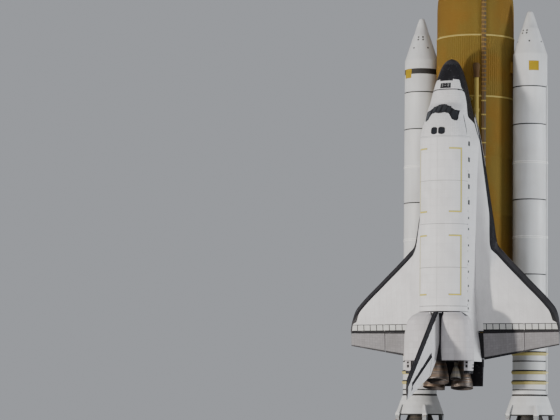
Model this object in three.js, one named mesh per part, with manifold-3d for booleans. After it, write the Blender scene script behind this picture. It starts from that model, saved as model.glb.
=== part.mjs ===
// A space shuttle as it stands before launch: the winged orbiter on its external propellant tank,
// between two solid rocket boosters that stand on their hold-down posts.
// Every length is in inches of the full-size vehicle, and stations run as on the real one:
// the orbiter's x0 grows from nose to tail, y0 to starboard and z0 from belly to back,
// the tank's xt and the boosters' xb grow downwards. The last lines turn inches into millimetres
// of the half-size model. The stack stands along +Z, the orbiter's back looks along -Y.
import * as THREE from "three";
import { mergeVertices } from "three/addons/utils/BufferGeometryUtils.js";
import Module from "manifold-3d";

const wasm = await Module();
wasm.setup();

const { cos, sin, sqrt, tan, PI } = Math;
const { lerp } = THREE.MathUtils;
const rad = THREE.MathUtils.degToRad;

// Scale and clearances
const MODEL_SCALE = 1 / 2;
const MM_PER_INCH = 25.4 * MODEL_SCALE;
const SEAT = 0.024; // between pieces that rest on each other
const RUN = 0.5; // between an edge that moves and what it passes
const COVE = 0.65; // between a control surface's round nose and the hollow that it turns in

// Heights of the stack
const POST_HEIGHT = 72; // from the floor to the boosters' skirts
const BOOSTER_TO_TANK = 543; // xt = xb + this
const ORBITER_TO_TANK = 741; // xt = x0 + this
const SKIRT_BASE = 1930.64; // xb
const FLOOR_STATION = SKIRT_BASE + BOOSTER_TO_TANK + POST_HEIGHT; // xt of the floor
const tankHeight = (xt) => FLOOR_STATION - xt;
const boosterHeight = (xb) => tankHeight(xb + BOOSTER_TO_TANK);

// Places across the stack
const BOOSTER_OFFSET = 250.5; // booster's axis from the tank's
const ORBITER_OFFSET = 336.5; // orbiter's z0 = 400 line from the tank's axis
const ORBITER_DATUM = 400; // z0 of that line

// Paint, foam, tile and metal
const material = (color, roughness, metalness = 0) =>
  new THREE.MeshStandardMaterial({ color, roughness, metalness });
const FOAM = material(0xb5761f, 0.9);
const BOOSTER_WHITE = material(0xe6e4de, 0.5);
const BLANKET = material(0xdcdad6, 0.85);
const TILE_WHITE = material(0xe8e7e3, 0.7);
const TILE_BLACK = material(0x1b1b1f, 0.6);
const CARBON = material(0x3a3a40, 0.5);
const NOZZLE = material(0x4a4542, 0.5, 0.6);
const GLASS = material(0x1a2028, 0.1);
const POST_PAINT = material(0x7d8286, 0.6, 0.3);

// A geometry as a closed solid, with its corners merged, its collapsed faces dropped and its skin
// turned outwards.
function solidOf(geometry) {
  const bare = geometry.index ? geometry.toNonIndexed() : geometry.clone();
  bare.deleteAttribute("normal");
  bare.deleteAttribute("uv");
  const merged = mergeVertices(bare, 1e-4);
  const corners = merged.index.array;
  const faces = [];
  for (let i = 0; i < corners.length; i += 3) {
    const [a, b, c] = corners.slice(i, i + 3);
    if (a !== b && b !== c && c !== a) faces.push([a, b, c]);
  }
  const build = (list) =>
    new wasm.Manifold(
      new wasm.Mesh({
        numProp: 3,
        vertProperties: merged.attributes.position.array,
        triVerts: new Uint32Array(list.flat()),
      }),
    );
  const solid = build(faces);
  return solid.volume() < 0 ? build(faces.map(([a, b, c]) => [a, c, b])) : solid;
}

function geometryOf(solid) {
  const mesh = solid.getMesh();
  const geometry = new THREE.BufferGeometry();
  geometry.setAttribute("position", new THREE.BufferAttribute(mesh.vertProperties, 3));
  geometry.setIndex(new THREE.BufferAttribute(mesh.triVerts, 1));
  return geometry;
}

const tidy = (geometry) => geometryOf(solidOf(geometry));

function fuse(...geometries) {
  return geometryOf(geometries.map(solidOf).reduce((whole, next) => whole.add(next)));
}

function carve(geometry, ...cutters) {
  return geometryOf(cutters.map(solidOf).reduce((left, next) => left.subtract(next), solidOf(geometry)));
}

function common(...geometries) {
  return geometryOf(geometries.map(solidOf).reduce((left, next) => left.intersect(next)));
}

// A skin through rings of equal count with a flat cap on each end. flat(p) lays a point of a ring
// on the plane of the caps. The unevenness keeps every point of a straight side in its cap.
const UNEVENNESS = 1e-5;
const uneven = (i) =>
  new THREE.Vector2(sin(5 * i), cos(7 * i)).multiplyScalar(UNEVENNESS);

function loft(rings, flat) {
  const count = rings[0].length;
  const index = [];
  for (let r = 0; r + 1 < rings.length; r++)
    for (let i = 0; i < count; i++) {
      const a = r * count + i;
      const b = r * count + ((i + 1) % count);
      index.push(a, b, a + count, b, b + count, a + count);
    }
  const last = (rings.length - 1) * count;
  for (const [ring, first, sameWay] of [
    [rings[0], 0, false],
    [rings.at(-1), last, true],
  ]) {
    const outline = ring.map((p, i) => flat(p).add(uneven(i)));
    const outlineTurn = Math.sign(THREE.ShapeUtils.area(outline));
    for (const face of THREE.ShapeUtils.triangulateShape(outline, [])) {
      const faceTurn = Math.sign(THREE.ShapeUtils.area(face.map((i) => outline[i])));
      const ordered = (faceTurn === outlineTurn) === sameWay ? face : [...face].reverse();
      index.push(...ordered.map((i) => first + i));
    }
  }
  const geometry = new THREE.BufferGeometry();
  geometry.setAttribute(
    "position",
    new THREE.Float32BufferAttribute(
      rings.flat().flatMap((p) => [p.x, p.y, p.z]),
      3,
    ),
  );
  geometry.setIndex(index);
  return tidy(geometry);
}

const flatAcross = (p) => new THREE.Vector2(p.x, p.y); // rings at one height
const flatAlong = (p) => new THREE.Vector2(p.y, p.z); // rings at one offset to the side

// A body of revolution about +Z from [radius, height] points.
function turned(profile, segments) {
  const points = profile.map(([radius, height]) => new THREE.Vector2(radius, height));
  const geometry = new THREE.LatheGeometry(points, segments);
  return tidy(geometry.rotateX(PI / 2));
}

// A box between two corners.
function box(low, high) {
  const size = new THREE.Vector3(...high).sub(new THREE.Vector3(...low));
  const middle = new THREE.Vector3(...low).addScaledVector(size, 0.5);
  return new THREE.BoxGeometry(
    Math.abs(size.x),
    Math.abs(size.y),
    Math.abs(size.z),
  ).translate(middle.x, middle.y, middle.z);
}

// A round bar between two points, its radius at each end.
function bar(from, to, startRadius, endRadius = startRadius, segments = 12) {
  const start = new THREE.Vector3(...from);
  const along = new THREE.Vector3(...to).sub(start);
  const length = along.length();
  const turn = new THREE.Quaternion().setFromUnitVectors(
    new THREE.Vector3(0, 1, 0),
    along.normalize(),
  );
  return new THREE.CylinderGeometry(endRadius, startRadius, length, segments)
    .translate(0, length / 2, 0)
    .applyQuaternion(turn)
    .translate(start.x, start.y, start.z);
}

// An outline of [u, v] points carried from depth low to depth high along a frame's third axis.
function prism(outline, low, high, frame) {
  const shape = new THREE.Shape(outline.map(([u, v]) => new THREE.Vector2(u, v)));
  return new THREE.ExtrudeGeometry(shape, { depth: high - low, bevelEnabled: false })
    .translate(0, 0, low)
    .applyMatrix4(frame);
}

// A frame whose axes are u, v and w, at an origin.
function frameOf(origin, u, v, w) {
  return new THREE.Matrix4().makeBasis(u, v, w).setPosition(origin);
}

function piece(name, geometry, finish) {
  const mesh = new THREE.Mesh(tidy(geometry), finish);
  mesh.name = name;
  return mesh;
}

const SIDES = [
  // name, sign of x
  ["port", -1],
  ["starboard", 1],
];

// External tank
const TANK_RADIUS = 165.5;
const TANK_SEGMENTS = 36;
const NOSE_TIP = 322.5; // xt of the spike
const OGIVE_START = 358;
const OGIVE_END = 745;
const INTERTANK_START = 852.8;
const INTERTANK_END = 1123.15;
const BARREL_END = 2058;
const DOME_HEIGHT = 115;

// Radius of the nose's circular-arc ogive at a station.
function ogiveRadius(xt) {
  const length = OGIVE_END - OGIVE_START;
  const arc = (length ** 2 + TANK_RADIUS ** 2) / (2 * TANK_RADIUS);
  return sqrt(arc ** 2 - (OGIVE_END - xt) ** 2) - (arc - TANK_RADIUS);
}

const OGIVE_STEPS = 9;
const ogive = (grow) =>
  Array.from({ length: OGIVE_STEPS }, (_, i) => {
    const xt = lerp(OGIVE_START + 14, OGIVE_END, i / (OGIVE_STEPS - 1));
    return [ogiveRadius(xt) + grow, tankHeight(xt)];
  });

function oxygenTank() {
  return turned(
    [
      [0, tankHeight(NOSE_TIP)],
      [1.2, tankHeight(NOSE_TIP)],
      [2.2, tankHeight(336)],
      [5, tankHeight(338)],
      [14, tankHeight(360)],
      ...ogive(0),
      [TANK_RADIUS, tankHeight(INTERTANK_START - SEAT)],
      [0, tankHeight(INTERTANK_START - SEAT)],
    ],
    TANK_SEGMENTS,
  );
}

const INTERTANK_SKIN = 1.6; // the stringers stand proud of the tanks
const FLANGE = 2.6;
const FLANGE_WIDTH = 7;

function intertankSkin() {
  const radius = TANK_RADIUS + INTERTANK_SKIN;
  const flange = TANK_RADIUS + FLANGE;
  return turned(
    [
      [0, tankHeight(INTERTANK_START)],
      [flange, tankHeight(INTERTANK_START)],
      [flange, tankHeight(INTERTANK_START + FLANGE_WIDTH)],
      [radius, tankHeight(INTERTANK_START + FLANGE_WIDTH + 1)],
      [radius, tankHeight(INTERTANK_END - FLANGE_WIDTH - 1)],
      [flange, tankHeight(INTERTANK_END - FLANGE_WIDTH)],
      [flange, tankHeight(INTERTANK_END)],
      [0, tankHeight(INTERTANK_END)],
    ],
    TANK_SEGMENTS,
  );
}

const DOME_STEPS = 6;

const dome = (grow) =>
  Array.from({ length: DOME_STEPS + 1 }, (_, i) => {
    const angle = (i / DOME_STEPS) * (PI / 2);
    return [
      i === DOME_STEPS ? 0 : (TANK_RADIUS + grow) * cos(angle),
      tankHeight(BARREL_END) - (DOME_HEIGHT + grow) * sin(angle),
    ];
  });

function hydrogenTank() {
  const start = tankHeight(INTERTANK_END + SEAT);
  return turned([[0, start], [TANK_RADIUS, start], ...dome(0)], TANK_SEGMENTS);
}

// The tank's skin a little larger, to cut what rests on it.
const tankCutter = () =>
  turned(
    [
      [0, tankHeight(OGIVE_START + 14)],
      ...ogive(SEAT),
      [TANK_RADIUS + SEAT, tankHeight(INTERTANK_START - SEAT)],
      [TANK_RADIUS + FLANGE + SEAT, tankHeight(INTERTANK_START - SEAT)],
      [TANK_RADIUS + FLANGE + SEAT, tankHeight(INTERTANK_START + FLANGE_WIDTH + SEAT)],
      [TANK_RADIUS + INTERTANK_SKIN + SEAT, tankHeight(INTERTANK_START + FLANGE_WIDTH + 1)],
      [TANK_RADIUS + INTERTANK_SKIN + SEAT, tankHeight(INTERTANK_END - FLANGE_WIDTH - 1)],
      [TANK_RADIUS + FLANGE + SEAT, tankHeight(INTERTANK_END - FLANGE_WIDTH - SEAT)],
      [TANK_RADIUS + FLANGE + SEAT, tankHeight(INTERTANK_END + SEAT)],
      [TANK_RADIUS + SEAT, tankHeight(INTERTANK_END + 2 * SEAT)],
      ...dome(SEAT),
    ],
    TANK_SEGMENTS,
  );

// A direction round the tank: 0 looks at the orbiter, growing to starboard.
const around = (degrees, radius) => [radius * sin(rad(degrees)), -radius * cos(rad(degrees))];

// Feed line and its elbow housing
const FEED_ANGLE = 22.5;
const FEED_RADIUS = 9.5;
const FEED_STANDOFF = 14; // from the tank's skin to the pipe's axis
const FEED_TOP = 1043;
const FEED_END = 2052 - SEAT;
const FEED_COLLARS = 6;

function feedLine() {
  const [x, y] = around(FEED_ANGLE, TANK_RADIUS + FEED_STANDOFF);
  const [end, top] = [FEED_END, FEED_TOP].map((xt) => [x, y, tankHeight(xt)]);
  const parts = [bar(end, top, FEED_RADIUS)];
  const [footX, footY] = around(FEED_ANGLE, TANK_RADIUS - 3);
  for (let i = 0; i < FEED_COLLARS; i++) {
    const z = tankHeight(lerp(FEED_TOP + 60, FEED_END - 90, i / (FEED_COLLARS - 1)));
    parts.push(bar([x, y, z - 3], [x, y, z + 3], FEED_RADIUS + 2.5, FEED_RADIUS + 2.5, 12));
    parts.push(bar([footX, footY, z], [x, y, z], 4, 3, 6));
  }
  return carve(fuse(...parts), tankCutter());
}

const ELBOW_LENGTH = 54; // up the intertank's skin
const FITTING_STATION = 985; // xt of the boosters' forward fittings

// The ribbed ring between the tanks, with the feed line's elbow housing and the two fittings that
// the boosters push on.
function intertank() {
  const [x, y] = around(FEED_ANGLE, TANK_RADIUS + FEED_STANDOFF);
  const [insideX, insideY] = around(FEED_ANGLE, TANK_RADIUS - 4);
  const top = tankHeight(FEED_TOP - SEAT);
  const elbow = fuse(
    bar([x, y, top], [x, y, top + 14], FEED_RADIUS + 2, FEED_RADIUS + 2, 16),
    bar([x, y, top + 13], [insideX, insideY, top + ELBOW_LENGTH], FEED_RADIUS + 2, FEED_RADIUS + 5, 16),
  );
  const fittings = SIDES.map(([, sign]) =>
    box(
      [sign * (TANK_RADIUS - 8), -15, tankHeight(FITTING_STATION + 26)],
      [sign * (BOOSTER_OFFSET - BOOSTER_RADIUS + 10), 15, tankHeight(FITTING_STATION - 26)],
    ),
  );
  const boosters = SIDES.map(([, sign]) =>
    boosterCylinder(SEAT).translate(sign * BOOSTER_OFFSET, 0, 0),
  );
  const hydrogen = turned(
    [
      [0, tankHeight(INTERTANK_END)],
      [TANK_RADIUS + SEAT, tankHeight(INTERTANK_END)],
      [TANK_RADIUS + SEAT, tankHeight(INTERTANK_END + 60)],
      [0, tankHeight(INTERTANK_END + 60)],
    ],
    TANK_SEGMENTS,
  );
  return carve(fuse(intertankSkin(), elbow, ...fittings), ...boosters, hydrogen);
}

// Cable tray and the two gas lines beside it, laid down the tank's side
const TRAY_ANGLE = 32;
const TRAY_WIDTH = 12;
const TRAY_HEIGHT = 6.5;
const GAS_LINE_RADIUS = 1.6;
const TRAY_TOP = 420;
const TRAY_END = 2046;

function cableTray() {
  const stations = [TRAY_TOP, 470, 530, 610, OGIVE_END, INTERTANK_START, INTERTANK_END, TRAY_END];
  const skinRadius = (xt) => (xt < OGIVE_END ? ogiveRadius(xt) : TANK_RADIUS);
  const strip = (offset, half, height) =>
    loft(
      stations.map((xt) => {
        const radius = skinRadius(xt);
        return [
          [offset - half, radius - 6],
          [offset + half, radius - 6],
          [offset + half, radius + height],
          [offset - half, radius + height],
        ].map(([side, out]) => new THREE.Vector3(side, -out, tankHeight(xt)));
      }),
      flatAcross,
    );
  const tray = strip(0, TRAY_WIDTH / 2, TRAY_HEIGHT);
  const line = strip(TRAY_WIDTH / 2 + 2, 2 + GAS_LINE_RADIUS, 2 * GAS_LINE_RADIUS + 1);
  return carve(fuse(tray, line).rotateZ(rad(TRAY_ANGLE)), tankCutter());
}

// Forward strut of the orbiter: two legs from the tank to one fitting under the nose
const BIPOD_STATION = 388; // x0
const BIPOD_HALF_SPAN = 42;

function bipod() {
  const z = tankHeight(BIPOD_STATION + ORBITER_TO_TANK);
  const belly = orbiterY(bodySection(BIPOD_STATION).bottom);
  const footY = -sqrt(TANK_RADIUS ** 2 - BIPOD_HALF_SPAN ** 2);
  const legs = SIDES.flatMap(([, sign]) => [
    bar([sign * BIPOD_HALF_SPAN, footY + 5, z - 4], [sign * 2, belly + 7, z], 3.2, 3.2, 10),
    bar([sign * BIPOD_HALF_SPAN, footY + 4, z - 4], [sign * BIPOD_HALF_SPAN, footY - 6, z - 4], 8, 6, 10),
  ]);
  const fitting = box([-6, belly + 10, z - 6], [6, belly - 4, z + 6]);
  return carve(fuse(...legs, fitting), tankCutter(), ...beneathOrbiter());
}

// Aft attachment: cross beam, two ball posts, tank struts and the two umbilical plates
const AFT_ATTACH_STATION = 1317; // x0
const ATTACH_HALF_SPAN = 96.5;
const BEAM_Y = -184;
const UMBILICAL_X = 70;

function aftAttachment() {
  const z = tankHeight(AFT_ATTACH_STATION + ORBITER_TO_TANK);
  const belly = orbiterY(bodySection(AFT_ATTACH_STATION).bottom);
  const reach = ATTACH_HALF_SPAN + 6;
  const parts = [box([-reach, BEAM_Y - 5, z - 6], [reach, BEAM_Y + 5, z + 6])];
  for (const [, sign] of SIDES) {
    const x = sign * ATTACH_HALF_SPAN;
    parts.push(
      bar([x, BEAM_Y, z], [x, belly - 3, z], 8, 6, 12),
      bar([x - sign * 4, BEAM_Y, z], [sign * 70, -142, z], 5, 5, 10),
      bar([x + sign * 3, BEAM_Y + 1, z], [sign * 126, -102, z + 178], 6.5, 6.5, 10),
      bar([sign * 10, BEAM_Y, z], [sign * 52, -150, z - 1], 4, 4, 8),
      box([sign * (UMBILICAL_X - 20), belly - 4, z - 60], [sign * (UMBILICAL_X + 20), BEAM_Y + 24, z - 9]),
      box([sign * (UMBILICAL_X - 6), BEAM_Y - 4, z - 20], [sign * (UMBILICAL_X + 6), BEAM_Y + 4, z]),
    );
  }
  return carve(fuse(...parts), tankCutter(), ...beneathOrbiter());
}

// Boosters
const BOOSTER_RADIUS = 73;
const BOOSTER_SEGMENTS = 24;
const NOSE_TOP = 200; // xb
const FORWARD_SKIRT_START = 395;
const CASE_START = 523;
const CASE_END = 1840;
const ATTACH_RING_STATION = 1511;
const SKIRT_RADIUS = 104.1;
const SKIRT_WALL = 4;

function boosterNose() {
  const end = boosterHeight(FORWARD_SKIRT_START - SEAT);
  return turned(
    [
      [0, boosterHeight(NOSE_TOP)],
      [6.5, boosterHeight(NOSE_TOP + 1.4)],
      [11.2, boosterHeight(NOSE_TOP + 5.5)],
      [13.6, boosterHeight(NOSE_TOP + 11)],
      [34, boosterHeight(275)],
      [35.5, boosterHeight(276)],
      [BOOSTER_RADIUS, boosterHeight(FORWARD_SKIRT_START - 4)],
      [BOOSTER_RADIUS, end],
      [0, end],
    ],
    BOOSTER_SEGMENTS,
  );
}

function boosterForwardSkirt() {
  const start = boosterHeight(FORWARD_SKIRT_START);
  const end = boosterHeight(CASE_START - SEAT);
  return turned([[0, start], [BOOSTER_RADIUS, start], [BOOSTER_RADIUS, end], [0, end]], BOOSTER_SEGMENTS);
}

const CASE_BANDS = [
  // xb, width, radius: field joints, then the stiffener rings near the tail
  [851.5, 9, 74.2],
  [1171.5, 9, 74.2],
  [1491.5, 9, 74.2],
  [1668, 6, 78],
  [1747, 6, 78],
  [1790, 6, 78],
];
const TUNNEL = { width: 10, height: 5 }; // the cable tunnel on each outer side

function boosterCase(sign) {
  const bands = CASE_BANDS.flatMap(([xb, width, radius]) => [
    [BOOSTER_RADIUS, boosterHeight(xb - width / 2 - 1)],
    [radius, boosterHeight(xb - width / 2)],
    [radius, boosterHeight(xb + width / 2)],
    [BOOSTER_RADIUS, boosterHeight(xb + width / 2 + 1)],
  ]);
  const shell = turned(
    [
      [0, boosterHeight(CASE_START)],
      [BOOSTER_RADIUS, boosterHeight(CASE_START)],
      ...bands,
      [BOOSTER_RADIUS, boosterHeight(CASE_END)],
      [0, boosterHeight(CASE_END)],
    ],
    BOOSTER_SEGMENTS,
  );
  const tunnel = box(
    [sign * (BOOSTER_RADIUS - 4), -TUNNEL.width / 2, boosterHeight(CASE_START + 2)],
    [sign * (BOOSTER_RADIUS + TUNNEL.height), TUNNEL.width / 2, boosterHeight(CASE_END - 2)],
  );
  const ringRoom = turned(
    [
      [BOOSTER_RADIUS, boosterHeight(ATTACH_RING_STATION - 8)],
      [BOOSTER_RADIUS + 20, boosterHeight(ATTACH_RING_STATION - 8)],
      [BOOSTER_RADIUS + 20, boosterHeight(ATTACH_RING_STATION + 8)],
      [BOOSTER_RADIUS, boosterHeight(ATTACH_RING_STATION + 8)],
      [BOOSTER_RADIUS, boosterHeight(ATTACH_RING_STATION - 8)],
    ],
    BOOSTER_SEGMENTS,
  );
  return carve(fuse(shell, tunnel), ringRoom);
}

// The booster's plain cylinder a little larger, to cut what rests on it.
function boosterCylinder(grow) {
  const radius = BOOSTER_RADIUS + grow;
  const top = boosterHeight(FORWARD_SKIRT_START);
  const bottom = boosterHeight(CASE_END);
  return turned([[0, top], [radius, top], [radius, bottom], [0, bottom]], BOOSTER_SEGMENTS);
}

const RING_HEIGHT = 9;
const RING_HALF_WIDTH = 6;
const STRUT_Y = 48;

// The ring round a booster's case and its struts to the tank. sign says which booster.
function boosterAttachRing(sign) {
  const inner = BOOSTER_RADIUS + SEAT;
  const outer = BOOSTER_RADIUS + RING_HEIGHT;
  const top = boosterHeight(ATTACH_RING_STATION - RING_HALF_WIDTH);
  const bottom = boosterHeight(ATTACH_RING_STATION + RING_HALF_WIDTH);
  const section = [[inner, top], [outer, top], [outer, bottom], [inner, bottom], [inner, top]];
  const ring = turned(section, BOOSTER_SEGMENTS);
  const z = boosterHeight(ATTACH_RING_STATION);
  const inward = -sign * BOOSTER_OFFSET; // the tank's axis, seen from the booster's
  const reach = sign * (TANK_RADIUS - 10);
  const struts = [
    [-STRUT_Y, -STRUT_Y],
    [STRUT_Y, STRUT_Y],
    [STRUT_Y, -10],
  ].map(([ringY, tankY]) =>
    bar([-sign * 60, ringY, z], [inward + reach, tankY, z], 4.5, 4.5, 10),
  );
  const tank = tankCutter().translate(inward, 0, 0);
  return carve(fuse(ring, ...struts), boosterCylinder(SEAT), tank);
}

const POST_PLACES = [62, 94]; // x and y from the booster's axis
const LUG = { height: 46, foot: 9, head: 5, lean: 0.82 };

// A lug that carries the skirt's load down to a post.
function skirtLug(sx, sy, base) {
  const [x, y] = [sx * POST_PLACES[0], sy * POST_PLACES[1]];
  const ring = (share, half, z) =>
    [
      [-1, -1],
      [1, -1],
      [1, 1],
      [-1, 1],
    ].map(([u, v]) => new THREE.Vector3(share * x + u * half, share * y + v * half, z));
  return loft([ring(1, LUG.foot, base), ring(LUG.lean, LUG.head, base + LUG.height)], flatAcross);
}

// The flared skirt at the booster's foot, with a lug above each hold-down post.
function boosterSkirt() {
  const start = boosterHeight(CASE_END + SEAT);
  const end = boosterHeight(SKIRT_BASE);
  const cone = turned(
    [
      [BOOSTER_RADIUS - SKIRT_WALL, start],
      [BOOSTER_RADIUS + 0.5, start],
      [BOOSTER_RADIUS + 3, boosterHeight(CASE_END + 8)],
      [SKIRT_RADIUS - 1, boosterHeight(SKIRT_BASE - 5)],
      [SKIRT_RADIUS, end],
      [SKIRT_RADIUS - SKIRT_WALL - 3, end],
      [BOOSTER_RADIUS - SKIRT_WALL, start],
    ],
    BOOSTER_SEGMENTS,
  );
  const lugs = SIDES.flatMap(([, sx]) => SIDES.map(([, sy]) => skirtLug(sx, sy, end)));
  const inside = turned(
    [
      [0, start],
      [BOOSTER_RADIUS - SKIRT_WALL, start],
      [SKIRT_RADIUS - SKIRT_WALL - 3, end],
      [0, end],
    ],
    BOOSTER_SEGMENTS,
  );
  return carve(fuse(cone, ...lugs), inside);
}

const NOZZLE_PIVOT = 1868; // xb
const NOZZLE_EXIT_RADIUS = 74.8;

// The nozzle, about its pivot and pointing down. Its round top lies against the case.
function boosterNozzle() {
  const ball = NOZZLE_PIVOT - CASE_END - SEAT;
  return turned(
    [
      [0, ball],
      [ball * 0.5, ball * 0.866],
      [ball * 0.866, ball * 0.5],
      [ball, 0],
      [31, -12],
      [38, -32],
      [50, -62],
      [63, -93],
      [NOZZLE_EXIT_RADIUS, -122.5],
      [NOZZLE_EXIT_RADIUS - 3, -122.5],
      [58, -90],
      [44, -60],
      [31, -34],
      [20, -18],
      [0, -8],
    ],
    BOOSTER_SEGMENTS,
  );
}

const SILL_HEIGHT = 9;

// Two hold-down posts on their sill, at one side of a booster. side is the sign of y.
function holdDownPosts(side) {
  const [x, y] = POST_PLACES;
  const sill = box([-x - 16, side * (y - 12), 0], [x + 16, side * (y + 18), SILL_HEIGHT]);
  const height = POST_HEIGHT - SILL_HEIGHT - SEAT + 1;
  const posts = SIDES.map(([, sx]) =>
    new THREE.CylinderGeometry(13, 17, height, 4, 1)
      .rotateY(PI / 4)
      .rotateX(PI / 2)
      .translate(sx * x, side * y, SILL_HEIGHT - 1 + height / 2),
  );
  return fuse(sill, ...posts);
}

// Orbiter
// at() gives a point of the orbiter in the orbiter's own group, whose origin is x0 = 0, z0 = 400.
const at = (x0, y0, z0) => new THREE.Vector3(y0, ORBITER_DATUM - z0, -x0);
const orbiterY = (z0) => ORBITER_DATUM - z0 - ORBITER_OFFSET; // the same height in the stack's frame

const block = ([xa, ya, za], [xb, yb, zb]) => {
  const span = new THREE.Box3().setFromPoints([at(xa, ya, za), at(xb, yb, zb)]);
  return box(span.min.toArray(), span.max.toArray());
};

const BAY_START = 582;
const BAY_END = 1307;
const BODY_END = 1511;
const SILL = 420; // z0 of the bay doors' hinge line
const HALF_WIDTH = 105;
const CROWN = 500;

const BODY = [
  // x0, half width, bottom, shoulder, top, corner's share of the width, of the height
  [237, 5, 336, 341, 347, 0.9, 0.9],
  [242, 17, 326, 341, 357, 0.9, 0.9],
  [250, 27, 317, 342, 366, 0.9, 0.9],
  [262, 36, 309, 343, 375, 0.9, 0.9],
  [285, 47, 301, 345, 388, 0.85, 0.9],
  [315, 57, 295.5, 349, 401, 0.8, 0.85],
  [350, 67, 291.5, 354, 413, 0.7, 0.8],
  [390, 75.5, 289, 361, 423, 0.6, 0.7],
  [430, 83, 287, 370, 432, 0.45, 0.6],
  [455, 87, 286, 377, 456, 0.36, 0.5],
  [480, 90.5, 285, 385, 477, 0.28, 0.42],
  [510, 95, 284, 394, 489, 0.2, 0.32],
  [545, 100.5, 282.5, 407, 497.5, 0.1, 0.18],
  [BAY_START, HALF_WIDTH, 281, SILL, CROWN, 0.05, 0.04],
  [1000, HALF_WIDTH, 272, SILL, CROWN, 0.05, 0.04],
  [BAY_END, HALF_WIDTH, 268, SILL, CROWN, 0.05, 0.04],
  [1387, HALF_WIDTH + 1, 271, SILL, CROWN, 0.05, 0.04],
  [1440, 113, 276, SILL, 504, 0.05, 0.04],
  [BODY_END, 122, 283, SILL, 518, 0.06, 0.05],
].map(([x0, halfWidth, bottom, shoulder, top, cornerWide, cornerHigh]) => ({
  x0,
  halfWidth,
  bottom,
  shoulder,
  top,
  cornerWide,
  cornerHigh,
}));

function bodySection(x0) {
  const after = Math.max(1, BODY.findIndex((s) => s.x0 >= x0));
  const [a, b] = [BODY[after - 1], BODY[after]];
  const share = (x0 - a.x0) / (b.x0 - a.x0);
  return Object.fromEntries(Object.keys(a).map((key) => [key, lerp(a[key], b[key], share)]));
}

const CROWN_STEPS = 16;
const CORNER_STEPS = 4;

// The orbiter's outline at a station: flat belly, elliptical corners, straight sides, arched back.
// floor raises the bottom, for the inside of the cabin.
function bodyRing(x0, grow = 0, floor = null) {
  const s = bodySection(x0);
  const wide = s.halfWidth + grow;
  const bottom = floor ?? s.bottom - grow;
  const top = s.top + grow;
  const cornerWide = s.cornerWide * wide;
  const cornerHigh = s.cornerHigh * (s.shoulder - bottom);
  const corner = Array.from({ length: CORNER_STEPS + 1 }, (_, i) => {
    const angle = (i / CORNER_STEPS) * (PI / 2);
    return [wide - cornerWide * (1 - sin(angle)), bottom + cornerHigh * (1 - cos(angle))];
  });
  const back = Array.from({ length: CROWN_STEPS + 1 }, (_, i) => {
    const angle = PI / 2 - (i / CROWN_STEPS) * PI;
    return [wide * sin(angle), s.shoulder + (top - s.shoulder) * cos(angle)];
  });
  const otherCorner = corner.map(([y, z]) => [-y, z]).reverse();
  return [...corner, ...back, ...otherCorner].map(([y, z]) => at(x0, y, z));
}

function bodySkin(from, to, grow = 0, floor = null) {
  const stations = [from, ...BODY.map((s) => s.x0).filter((x) => x > from && x < to), to];
  return loft(
    stations.map((x) => bodyRing(x, grow, floor)),
    flatAcross,
  );
}

// The whole body a little larger, to cut what rests on it.
const bodyCutter = () => bodySkin(BODY[0].x0, BODY_END, SEAT);
const inStack = (geometry) => geometry.translate(0, -ORBITER_OFFSET, tankHeight(ORBITER_TO_TANK));
const beneathOrbiter = () => [inStack(bodyCutter())];

// A point of the orbiter's arched back: angle 0 is its crown, 90 its shoulder to starboard.
function backPoint(x0, angle, grow = 0) {
  const s = bodySection(x0);
  return at(
    x0,
    (s.halfWidth + grow) * sin(rad(angle)),
    s.shoulder + (s.top + grow - s.shoulder) * cos(rad(angle)),
  );
}

// A four-sided hole through the skin, narrowing towards a focus inside.
function windowCutter(front, rear, low, high) {
  const corners = [
    [front, low],
    [front, high],
    [rear, high],
    [rear, low],
  ].map(([x, angle]) => backPoint(x, angle));
  const focus = at((front + rear) / 2 + 10, 0, 385);
  const ring = (share) => corners.map((p) => focus.clone().lerp(p, share));
  return loft([ring(0.8), ring(1.2)], flatAcross);
}

const CABIN_WALL = 5;
const CABIN = { start: 434, end: 570, floor: 330 };
const WINDOWS = [
  // front x0, rear x0, inner angle, outer angle
  [438, 470, 4, 29],
  [441, 473, 34, 56],
  [447, 481, 62, 83],
  [548, 568, 2.5, 16],
];
const HATCH = { x0: 524, z0: 354, radius: 20, gap: 1, hinge: 2.2 };
const NOSE_CAP_END = 262;
const NOSE_BULKHEAD = 378;
const THRUSTER_BAY = { start: 300, end: 362, low: 372, half: 44 };

const cabinRoom = () => bodySkin(CABIN.start, CABIN.end, -CABIN_WALL, CABIN.floor);

function hatchBar(radius) {
  const side = -bodySection(HATCH.x0).halfWidth;
  return bar(
    at(HATCH.x0, side - 6, HATCH.z0).toArray(),
    at(HATCH.x0, side + 14, HATCH.z0).toArray(),
    radius,
    radius,
    24,
  );
}

const hatchAxis = () => ({
  y0: -bodySection(HATCH.x0).halfWidth - HATCH.hinge,
  z0: HATCH.z0 - HATCH.radius - 0.6,
});

function crewHatch() {
  const { y0, z0 } = hatchAxis();
  const disc = carve(common(bodySkin(430, BAY_START), hatchBar(HATCH.radius)), cabinRoom());
  const knuckle = bar(at(HATCH.x0 - 4, y0, z0).toArray(), at(HATCH.x0 + 4, y0, z0).toArray(), 1.4);
  const leaf = block([HATCH.x0 - 4, y0 - 1, z0], [HATCH.x0 + 4, y0 + HATCH.hinge + 1, z0 + 7]);
  const skin = bodySkin(430, BAY_START, SEAT);
  return fuse(disc, carve(fuse(knuckle, leaf), carve(skin, hatchBar(HATCH.radius - 0.5))));
}

function hatchLugs() {
  const { y0, z0 } = hatchAxis();
  return [-1, 1].map((side) =>
    block(
      [HATCH.x0 + side * (4 + SEAT), y0 - 1.4, z0 - 1.6],
      [HATCH.x0 + side * 8, y0 + HATCH.hinge + 3, z0 + 1.4],
    ),
  );
}

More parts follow.
